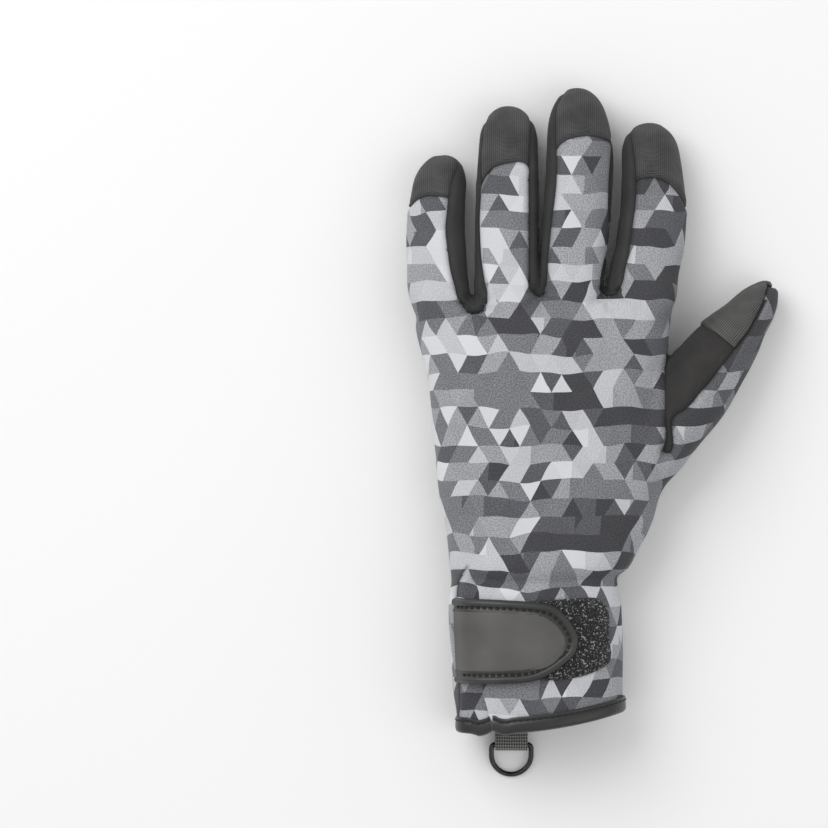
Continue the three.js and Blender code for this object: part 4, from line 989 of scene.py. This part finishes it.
def gripStitches(name, key, across):
    # a row of stitches inside the patch's edge, and rows across it, laid in their grooves
    faces = overlays[key]
    tree = bvhtree.BVHTree.FromPolygons(cloth.points.tolist(), faces.tolist())
    middle = cloth.points[np.unique(faces)].mean(0)
    rows = []
    for ids in chains(seamMarks[key]):
        if len(ids) > 12:
            line, ups = lineOf(ids, 1.0)
            inwards = np.cross(frameAlong(line), ups)
            inwards *= np.sign(np.einsum("ij,ij->i", inwards, middle - line).sum())
            rows.append([tree.find_nearest(p) for p in line + inwards * grip["inset"]])
    for points in across:
        line, = evenly(smoothLine(points), 1.0)
        found = [tree.ray_cast((x, y, -5.0), (0, 0, 1)) for x, y in line]
        rows.append([f for f in found if f[0] is not None])
    parts = []
    for found in rows:
        if len(found) < 6:
            continue
        line, ups = np.array([f[0] for f in found]), np.array([f[1] for f in found])
        line, ups = evened(line, 4), evened(ups, 4)
        rise = grip["gap"] + grip["thickness"] - grip["groove"] + grip["proud"]
        parts.append(stitchMesh(line + ups * rise, ups, grip["stitch"], grip["between"], grip["thread"]))
    points, faces = gather(parts)
    points[:, 2] = np.maximum(points[:, 2], 0.02)
    register(makePiece(name, points, faces, ["blackThread"]), "grip_weave")


def overlayShell(name, key, node, weave="weave", uv=palmUv):
    # a patch with a rounded edge and the grooves of its stitches
    inner = np.unique(overlays[key])
    away = np.zeros(len(cloth.points))
    away[inner] = distanceTo(cloth.points[inner], cloth.points[np.unique(seamMarks[key])])
    rounded = grip["edge"] + (1 - grip["edge"]) * np.sqrt(np.clip(away / grip["round"], 0, 1))
    top = grip["gap"] + grip["thickness"] * rounded
    top -= grip["groove"] * np.exp(-(((away - grip["inset"]) / grip["grooveWidth"]) ** 2))
    if key == "palmPatch":
        for points in knuckleLines:
            apart = lineDistance(cloth.points, smoothLine(points)) / grip["crossWidth"]
            top -= grip["crossGroove"] * np.exp(-(apart ** 2)) * (away > grip["crossFrom"])
    seam = np.clip(0.3 + away / 2.0, 0, 1)
    register(shell(name, overlays[key], top, grip["gap"] * 0.5, [weave, weave], uv, seam), "grip_weave", node)


overlayShell("palmGrip", "palmPatch", "palm_patch")
for name in fingerNames:
    overlayShell("grip_" + name + "_weave", "grip_" + name, "grip_" + name)
thumbFit = limbFit("thumb", cloth.points)
# round the thumb's tip, whose half width is about 11 mm
thumbUv = np.stack([thumbFit["along"], np.arctan2(thumbFit["sz"], -thumbFit["sx"]) * 11.0], 1)
overlayShell("grip_thumb_weave", "grip_thumb", "grip_thumb", "thumbWeave", thumbUv)


def frameAlong(line, closed=False):
    # the way along at each point
    ways = np.gradient(line, axis=0)
    if closed:
        ways = np.roll(line, -1, 0) - np.roll(line, 1, 0)
    return ways / np.maximum(np.linalg.norm(ways, axis=1), 1e-9)[:, None]


def evenly(line, step, *extras):
    # resample a line, and values that go with its points
    away = np.concatenate([[0], np.cumsum(np.linalg.norm(np.diff(line, axis=0), axis=1))])
    count = max(int(away[-1] / step), 2)
    at = np.linspace(0, away[-1], count + 1)
    return [np.stack([np.interp(at, away, v[:, k]) for k in range(v.shape[1])], 1) for v in (line,) + extras]


def evened(values, times):
    # each row but the ends drawn towards its neighbours
    for _ in range(times):
        values[1:-1] = 0.25 * values[:-2] + 0.5 * values[1:-1] + 0.25 * values[2:]
    return values


def tubeMesh(line, ups, radius, sides=8, flat=1.0, taper=2):
    # a cord with tapered, closed ends
    ways = frameAlong(line)
    sidesways = np.cross(ways, ups)
    sidesways /= np.maximum(np.linalg.norm(sidesways, axis=1), 1e-9)[:, None]
    ups = np.cross(sidesways, ways)
    size = np.minimum(np.minimum(np.arange(len(line)), np.arange(len(line))[::-1]) / taper + 0.15, 1)
    turns = [2 * math.pi * k / sides for k in range(sides)]
    points = [line[:, None] + size[:, None, None] * radius * (
        math.cos(t) * sidesways[:, None] + flat * math.sin(t) * ups[:, None]) for t in turns]
    points = np.concatenate(points, 1).reshape(-1, 3)
    faces = []
    for i in range(len(line) - 1):
        for k in range(sides):
            a, b = i * sides + k, i * sides + (k + 1) % sides
            faces.append((a, a + sides, b + sides, b))
    faces.append(tuple(range(sides)))
    faces.append(tuple(range(len(points) - sides, len(points)))[::-1])
    return points, faces


def gather(parts):
    # several meshes as one
    points, faces, count = [], [], 0
    for p, f in parts:
        points.append(p)
        faces += [tuple(i + count for i in face) for face in f]
        count += len(p)
    return np.vstack(points), faces


def stitchMesh(line, ups, length, gap, radius, sink=0.1):
    # short arched threads whose ends dive into the cloth
    away = np.concatenate([[0], np.cumsum(np.linalg.norm(np.diff(line, axis=0), axis=1))])
    parts = []
    start = gap / 2
    while start + length < away[-1]:
        at = np.linspace(start, start + length, 5)
        p = np.stack([np.interp(at, away, line[:, k]) for k in range(3)], 1)
        n = np.stack([np.interp(at, away, ups[:, k]) for k in range(3)], 1)
        arch = np.array([-1.1, 0.35, 0.6, 0.35, -1.1]) * radius
        parts.append(tubeMesh(p + n * (arch - sink)[:, None], n, radius, 6, 1.0, 1))
        start += length + gap
    return gather(parts)


def lineOf(ids, step):
    # a cut edge as an even line, with the cloth's normals
    line, ups = evenly(cloth.points[ids], step, normals[ids])
    return evened(line, 3), ups


print("stitching the grip patches")
gripStitches("palmGripStitches", "palmPatch", knuckleLines)
for name in fingerNames:
    gripStitches("grip_" + name + "_stitches", "grip_" + name, [])

print("rolling the cap piping")
piping = {"radius": 0.7, "flat": 0.95, "over": 0.6, "rise": 0.15}
for name in fingerNames:
    parts = []
    for ids in chains(seamMarks["cap_" + name]):
        if len(ids) > 12:
            line, ups = lineOf(ids, 0.8)
            towards = np.cross(frameAlong(line), ups)
            towards *= np.sign((towards[:, 1]).sum())
            line += towards * piping["over"] + ups * piping["rise"]
            parts.append(tubeMesh(line, ups, piping["radius"], 8, piping["flat"], 3))
    points, faces = gather(parts)
    register(makePiece("piping_" + name, points, faces, ["piping"], points[:, :2], np.ones(len(points))),
             "ribbed_cloth")

print("closing the cuff")


def cuffSection(y):
    rows = limbs["hand"]["rows"]
    return [float(smoothColumn(rows, k, np.array([y]))[0]) for k in (1, 2, 3, 4)]


def cuffWrap(u, y, rise):
    # u runs round the back of the cuff from the hand's middle line, positive to the thumb
    power = 2 / limbs["hand"]["power"]
    made, ways = np.zeros((len(u), 3)), np.zeros((len(u), 3))
    turns = np.linspace(-math.pi * 0.72, math.pi * 0.72, 401)
    for level in np.unique(y):
        middle, half, height, lift = cuffSection(level)
        x = middle + half * np.sign(np.sin(turns)) * np.abs(np.sin(turns)) ** power
        z = lift + height * np.sign(np.cos(turns)) * np.abs(np.cos(turns)) ** power
        away = np.concatenate([[0], np.cumsum(np.hypot(np.diff(x), np.diff(z)))])
        away -= np.interp(0, x[100:301], away[100:301])
        pick = y == level
        px, pz = np.interp(u[pick], away, x), np.interp(u[pick], away, z)
        tx = np.interp(u[pick] + 0.5, away, x) - np.interp(u[pick] - 0.5, away, x)
        tz = np.interp(u[pick] + 0.5, away, z) - np.interp(u[pick] - 0.5, away, z)
        size = np.maximum(np.hypot(tx, tz), 1e-9)
        made[pick] = np.stack([px, np.full(pick.sum(), level), pz], 1)
        ways[pick] = np.stack([-tz / size, np.zeros(pick.sum()), tx / size], 1)
    return made + ways * np.asarray(rise)[:, None], ways


strap = {"nose": [(-44.0, 49.2), (-26.9, 48.9), (-18.9, 48.7), (-6.5, 48.0), (3.1, 46.8), (8.1, 43.7), (11.9, 38.7),
                  (13.9, 33.7), (12.7, 28.0), (8.5, 23.7), (3.1, 19.9), (-4.2, 17.2), (-13.9, 16.4), (-23.9, 16.2),
                  (-44.0, 16.2)],
         "roll": 2.9, "base": 1.7, "rollHeight": 1.5, "face": 0.75, "step": 0.5, "sewn": 0.3, "ease": 8.0,
         "side": [(-31.6, 16.0), (-32.7, 49.5)], "thread": 0.4, "stitch": 2.1, "between": 0.45,
         # height or depth, distance from the roll and width of the weld and of the groove beside the roll
         "weld": (0.28, 1.9, 0.35), "groove": (0.35, 0.5, 0.5)}


def sheetGrid(lowU, highU, lowY, highY, step):
    # a flat grid of triangles
    us, ys = np.arange(lowU, highU + step, step), np.arange(lowY, highY + step, step)
    u, y = np.meshgrid(us, ys, indexing="ij")
    n = len(ys)
    i, j = np.meshgrid(np.arange(len(us) - 1), np.arange(n - 1), indexing="ij")
    a = (i * n + j).ravel()
    faces = np.vstack([np.stack([a, a + n, a + n + 1], 1), np.stack([a, a + n + 1, a + 1], 1)])
    return np.stack([u.ravel(), y.ravel(), np.zeros(u.size)], 1), faces


def wrapShell(name, outline, edge, low, high, step, top, bottom, slots, slot, *nodes):
    # a ply cut to a flat outline and wrapped round the cuff; top and bottom give heights by the distance to its edge
    flat, faces = sheetGrid(low[0], high[0], low[1], high[1], step)
    sheet = Cloth(flat)
    faces, p = compact(sheet.split(faces, insideBy(flat, outline))[0], sheet.points)
    away = np.maximum(insideBy(p, edge, 40.0), 0)
    upper, ways = cuffWrap(p[:, 0], np.round(p[:, 1], 2), top(away, p))
    lower, _ = cuffWrap(p[:, 0], np.round(p[:, 1], 2), bottom(away, p))
    a, b, c = (upper[faces[0, k]] for k in range(3))
    if np.cross(b - a, c - a) @ ways[faces[0, 0]] < 0:
        faces = faces[:, ::-1]
    every, _ = closedSheet(faces, len(p))
    uv = np.vstack([p[:, :2], p[:, :2]])
    register(makePiece(name, np.vstack([upper, lower]), every, slots, uv, np.ones(len(uv))), slot, *nodes)


def strapTop(away, p):
    roll = strap["roll"]
    ridge = np.sqrt(np.clip(1 - ((away - roll * 0.5) / (roll * 0.5)) ** 2, 0, 1)) * (away < roll)
    (weld, weldAway, weldWidth), (groove, grooveAway, grooveWidth) = strap["weld"], strap["groove"]
    inner = (strap["face"] + weld * np.exp(-(((away - roll - weldAway) / weldWidth) ** 2))
             - groove * np.exp(-(((away - roll - grooveAway) / grooveWidth) ** 2)))
    return strapBase(p) + np.where(away < roll, strap["rollHeight"] * ridge + 0.2 * easeStep(0, roll, away), inner)


def cuffReach(x, y):
    # distance round the cuff at which it reaches a place across
    u = np.linspace(-60, 0, 241)
    made, _ = cuffWrap(u, np.full(len(u), float(y)), np.full(len(u), strap["sewn"]))
    first = int(made[:, 0].argmin())
    return float(np.interp(x, made[first:, 0], u[first:]))


sideEnds = [cuffReach(x, y) for x, y in strap["side"]]


def sewnEnd(y):
    return np.interp(y, [place[1] for place in strap["side"]], sideEnds)


def strapBase(p):
    # low where it is sewn into the side seam, then over the lap
    over = easeStep(0.5, strap["ease"], p[:, 0] - sewnEnd(p[:, 1]))
    return strap["sewn"] + (strap["base"] - strap["sewn"]) * over


def cutAtSeam(edge, inset, low, high, count):
    # the outline, closed along the seam in which the strap is sewn
    ends = sewnEnd(edge[:, 1]) + inset
    return np.vstack([np.column_stack([np.maximum(edge[:, 0], ends), edge[:, 1]]),
                      [[sewnEnd(y) + inset, y] for y in np.linspace(low, high, count)]])


strapEdge = smoothLine(strap["nose"], 6)
strapOutline = cutAtSeam(strapEdge, 0.0, 16.4, 49.0, 12)
wrapShell("strapBorder", strapOutline, strapEdge, (-43.5, 15.0), (15.0, 50.0), strap["step"], strapTop,
          lambda away, p: strapBase(p) - 0.1, ["border"], "strap_rubber", "strap")
faceEdge = smoothLine([(-44.0, 44.3), (-32.0, 44.2), (-19.2, 44.1), (-4.2, 43.7), (0.8, 42.2), (5.8, 38.7),
                       (8.5, 34.9), (9.3, 31.4), (7.3, 27.2), (2.3, 22.9), (-6.5, 21.6), (-18.9, 21.3),
                       (-30.0, 21.2), (-44.0, 21.2)], 6)
faceOutline = cutAtSeam(faceEdge, 0.3, 21.4, 44.1, 10)
wrapShell("strapFace", faceOutline, faceEdge, (-43.5, 20.0), (11.0, 46.0), 0.6,
          lambda away, p: strapBase(p) + strap["face"] + 0.12 + 0.12 * easeStep(0, 0.8, away),
          lambda away, p: strapBase(p) + 0.3, ["film"], "strap_film", "strap_face")
loopOutline = smoothLine([(-6.0, 47.8), (5.0, 48.6), (19.2, 49.3), (22.5, 48.6), (25.2, 46.8), (26.9, 44.0),
                          (27.4, 40.0), (27.5, 32.6), (28.1, 27.6), (27.2, 24.4), (23.6, 22.2), (17.3, 19.7),
                          (7.7, 18.0), (-6.0, 17.8)], 5)
pile = {"foot": 0.3, "height": 0.9, "round": 0.9, "tufts": 0.22, "tuftSize": 0.9}


def pileTop(away, p):
    tufts = pile["tufts"] * lumps(p * np.array([1, 1, 0]) + 50, pile["tuftSize"], 9)
    return pile["foot"] + pile["height"] * np.sqrt(np.clip(away / pile["round"], 0.1, 1)) + tufts


wrapShell("loopPatch", loopOutline, loopOutline, (-6.0, 16.0), (29.0, 51.0), 0.45, pileTop,
          lambda away, p: np.full(len(away), 0.1), ["loops"], "loop_pile", "loop_patch")

print("stitching the strap")
stitchLine = smoothLine([(-42.0, 45.6), (-26.9, 45.4), (-18.9, 45.3), (-6.0, 44.8), (1.8, 43.5), (6.2, 40.8),
                         (9.3, 36.6), (10.7, 32.8), (9.6, 28.8), (6.2, 25.2), (1.4, 22.3), (-4.8, 20.3),
                         (-13.9, 19.8), (-23.9, 19.7), (-42.0, 19.7)], 6)
onStrap, strapWays = cuffWrap(stitchLine[:, 0], np.round(stitchLine[:, 1], 2), strapBase(stitchLine) + 0.62)
keep = stitchLine[:, 0] > sewnEnd(stitchLine[:, 1]) + 0.5
points, faces = stitchMesh(onStrap[keep], strapWays[keep], strap["stitch"], strap["between"], strap["thread"])
register(makePiece("strapStitches", points, faces, ["blackThread"]), "strap_rubber")

print("binding the hem")
hemRing = max(chains(seamMarks["hem"]), key=len)
ring = cloth.points[hemRing]
outwards = normals[hemRing]
# the hem's line starts at the lap on the back and ends there again, a little further under
start = int(np.argmin(np.hypot(ring[:, 0] + 17.8, ring[:, 1] + 2) + (ring[:, 2] < 20) * 50))
if hemRing[0] == hemRing[-1]:
    ring, outwards = ring[:-1], outwards[:-1]
start = min(start, len(ring) - 1)
ring, outwards = np.roll(ring, -start, 0), np.roll(outwards, -start, 0)
if ring[len(ring) // 10, 0] < ring[0, 0]:
    ring, outwards = np.roll(ring[::-1], 1, 0), np.roll(outwards[::-1], 1, 0)
ring, outwards = np.vstack([ring, ring[:1]]), np.vstack([outwards, outwards[:1]])
ring, outwards = evenly(ring, 1.2, outwards)
ring = evened(ring, 4)
outwards[:, 1] = 0
outwards /= np.linalg.norm(outwards, axis=1)[:, None]
share = np.linspace(0, 1, len(ring))
onGusset = (share > 0.8) & (ring[:, 2] > 18)
drop = np.where(onGusset, -cuff["tuck"] * easeStep(0, 5, ring[:, 0] + 31.9), 0.0)
drop += np.where(share < 0.2, cuff["lapLift"] * np.exp(-(((ring[:, 0] + 17.5) / 3) ** 2)), 0.0)
# out from the cloth, along the glove from its hem line
profile = [(0.15, 4.3), (0.8, 4.5), (1.1, 4.1), (1.12, 3.3), (0.85, 3.0), (1.15, 2.6), (1.3, 1.4), (1.3, 0.0),
           (1.1, -0.9), (0.5, -1.5), (-0.4, -1.75), (-1.4, -1.7), (-2.2, -1.3), (-2.6, -0.4), (-2.65, 1.0),
           (-2.6, 3.6), (-2.2, 4.4), (-1.65, 4.2), (-1.6, 0.1), (0.1, 0.1)]
binding = {"seamUp": 3.1, "seamOut": 0.95, "stitch": 1.9, "between": 0.6, "thread": 0.4,
           # ends at the lap: depth, place and width of the sag, then height and reach of the curl
           "back": (0.5, -13.2, 2.0, 1.1, -15.2, -17.6), "vent": (0.9, -25.0, 2.6, 1.5, -22.5, -18.0)}
count = len(profile)


def hemBend(place, part):
    # the two ends at the lap sag and curl up
    x = place[..., 0]
    back, vent = (curl * easeStep(start, end, x) - sag * np.exp(-(((x - at) / width) ** 2))
                  for sag, at, width, curl, start, end in (binding["back"], binding["vent"]))
    return np.where(place[..., 2] > 20, np.where(part > 0.8, vent, back), 0.0)


along = np.array([0, 1.0, 0])
bandPoints = [p + n * (out + d) + along * (up + bend)
              for p, n, d, bend in zip(ring, outwards, drop, hemBend(ring, share)) for out, up in profile]
bandFaces = []
for i in range(len(ring) - 1):
    for k in range(count):
        a, b = i * count + k, i * count + (k + 1) % count
        bandFaces.append((a, b, b + count, a + count))
bandFaces.append(tuple(range(count))[::-1])
bandFaces.append(tuple(range(len(bandPoints) - count, len(bandPoints))))
bandPoints = np.array(bandPoints)
bandPoints[:, 2] = np.maximum(bandPoints[:, 2], 0.03)
a, b, c = (bandPoints[k] for k in bandFaces[5][:3])
if np.cross(b - a, c - a) @ outwards[0] < 0:
    bandFaces = [f[::-1] for f in bandFaces]
register(makePiece("hemBinding", bandPoints, bandFaces, ["binding"]), "binding", "cuff_binding")
stitchPath = (ring + outwards * (binding["seamOut"] + drop)[:, None]
              + (binding["seamUp"] + hemBend(ring, share))[:, None] * along)
points, faces = stitchMesh(stitchPath, outwards, binding["stitch"], binding["between"], binding["thread"])
points[:, 2] = np.maximum(points[:, 2], 0.03)
register(makePiece("hemStitches", points, faces, ["blackThread"]), "binding")

print("threading the ring")
ringPlace = {"x": -10.81, "y": -8.49, "z": 2.9, "droop": 8.77, "wire": 1.0, "half": 7.7, "side": 4.1, "corner": 1.6,
             "sides": 16}


def arcPoints(x, y, radius, angles):
    return [(x + radius * math.cos(math.radians(a)), y + radius * math.sin(math.radians(a))) for a in angles]


def ringLine():
    half, corner, side = ringPlace["half"], ringPlace["corner"], ringPlace["side"]
    flat = (arcPoints(-half + corner, -corner, corner, range(180, 89, -15))
            + arcPoints(half - corner, -corner, corner, range(90, -1, -15))
            + arcPoints(0, -side, half, range(0, -181, -5)))
    droop = math.radians(ringPlace["droop"])
    return np.array([(ringPlace["x"] + x, ringPlace["y"] + y * math.cos(droop), ringPlace["z"] + y * math.sin(droop))
                     for x, y in flat]), np.array([0, -math.sin(droop), math.cos(droop)])


wireLine, wireUp = ringLine()
wireWays = frameAlong(wireLine, True)
sides = ringPlace["sides"]
wirePoints, wireFaces = [], []
for p, w in zip(wireLine, wireWays):
    side = np.cross(w, wireUp)
    side /= np.linalg.norm(side)
    for k in range(sides):
        t = 2 * math.pi * k / sides
        wirePoints.append(p + ringPlace["wire"] * (math.cos(t) * side + math.sin(t) * wireUp))
for i in range(len(wireLine)):
    here, after = i * sides, (i + 1) % len(wireLine) * sides
    for k in range(sides):
        wireFaces.append((here + k, after + k, after + (k + 1) % sides, here + (k + 1) % sides))
register(makePiece("ringWire", np.array(wirePoints), wireFaces, ["nickel"]), "gunmetal", "d_ring", body=ringBody)

# tape folded round the ring's bar
tape = {"width": 12.6, "ply": 1.0, "inner": 1.32, "end": 3.8, "top": 5.2, "under": 4.15}


def tapeLoop():
    bar, height, outer = ringPlace["y"], ringPlace["z"], tape["inner"] + tape["ply"]
    line = [(tape["end"], tape["top"]), (0.0, tape["top"] + 0.05), (bar + 3, tape["top"] + 0.1)]
    line += arcPoints(bar, height, outer, range(90, 331, 15))
    line += [(bar + 3.4, tape["under"]), (0.0, tape["under"]), (tape["end"], tape["under"])]
    return line, arcPoints(bar, height, tape["inner"], range(0, 360, 20))


outerLine, holeLine = tapeLoop()
steps = np.linspace(-0.5, 0.5, 15)
tapePoints, tapeFaces = [], []
for n, s in enumerate(steps):
    edge = 1 - 0.12 * (abs(s) > 0.49)
    for y, z in outerLine:
        tapePoints.append((ringPlace["x"] + s * tape["width"], y, ringPlace["z"] + (z - ringPlace["z"]) * edge))
    for y, z in holeLine:
        tapePoints.append((ringPlace["x"] + s * tape["width"], y, z))
m, h = len(outerLine), len(holeLine)
block = m + h
for n in range(len(steps) - 1):
    for k in range(m):
        a, b = n * block + k, n * block + (k + 1) % m
        tapeFaces.append((a, b, b + block, a + block))
    for k in range(h):
        a, b = n * block + m + k, n * block + m + (k + 1) % h
        tapeFaces.append((a, a + block, b + block, b))
bm = bmesh.new()
vertices = [bm.verts.new(p) for p in tapePoints]
for f in tapeFaces:
    bm.faces.new([vertices[i] for i in f])
for n in (0, len(steps) - 1):
    edges = []
    for first, size in ((0, m), (m, h)):
        for k in range(size):
            a, b = vertices[n * block + first + k], vertices[n * block + first + (k + 1) % size]
            edges.append(bm.edges.get((a, b)))
    bmesh.ops.triangle_fill(bm, use_beauty=True, edges=edges)
bmesh.ops.recalc_face_normals(bm, faces=bm.faces)
bm.verts.index_update()
tapePoints = np.array([tuple(v.co) for v in bm.verts])
tapeFaces = [tuple(v.index for v in f.verts) for f in bm.faces]
bm.free()
register(makePiece("ringTape", tapePoints, tapeFaces, ["tape"]), "webbing", "ring_tab")

print("lighting")
view = {"centre": (-68.37, 9.48), "height": 2500.0, "span": 318.8}
stage = {"floor": "#fbfbfb", "halfFloor": 6, "below": -0.0002, "world": 0.62,
         "key": ((-0.75, 0.75, 1.15), 1.1, 10.6), "fill": ((0.9, -0.4, 1.2), 1.2, 2.9)}  # place, size and power
floorMesh = bpy.data.meshes.new("floor")
corners = [(-1, -1), (1, -1), (1, 1), (-1, 1)]
floorMesh.from_pydata([(x * stage["halfFloor"], y * stage["halfFloor"], stage["below"]) for x, y in corners], [],
                      [(0, 1, 2, 3)])
floor = bpy.data.objects.new("floor", floorMesh)
bpy.context.scene.collection.objects.link(floor)
# Matt seamless paper: white, with no highlight.
paper, paperTree = newMaterial("paperFloor")
floorMesh.materials.append(finished(paper, addNode(paperTree, "BsdfPrincipled", {
    "Base Color": linear(stage["floor"]), "Roughness": 0.9, "Specular IOR Level": 0.1})))


def softLight(name, place, size, power):
    data = bpy.data.lights.new(name, "AREA")
    data.size, data.energy = size, power
    light = bpy.data.objects.new(name, data)
    light.location = place
    light.rotation_mode = "QUATERNION"
    light.rotation_quaternion = (-Vector(place)).to_track_quat("-Z", "Y")
    light.visible_camera = False
    bpy.context.scene.collection.objects.link(light)


softLight("keyLight", *stage["key"])
softLight("fillLight", *stage["fill"])
world = bpy.data.worlds.new("room")
bpy.context.scene.world = world
world.use_nodes = True
background = world.node_tree.nodes["Background"].inputs
background["Color"].default_value, background["Strength"].default_value = (1, 1, 1, 1), stage["world"]

cameraData = bpy.data.cameras.new("camera")
cameraData.sensor_width = 36
cameraData.lens = 36 * (view["height"] - 20) / view["span"]
camera = bpy.data.objects.new("camera", cameraData)
camera.location = (view["centre"][0] / 1000, view["centre"][1] / 1000, view["height"] / 1000)
bpy.context.scene.collection.objects.link(camera)
bpy.context.scene.camera = camera
bpy.context.scene.view_settings.view_transform = "Standard"
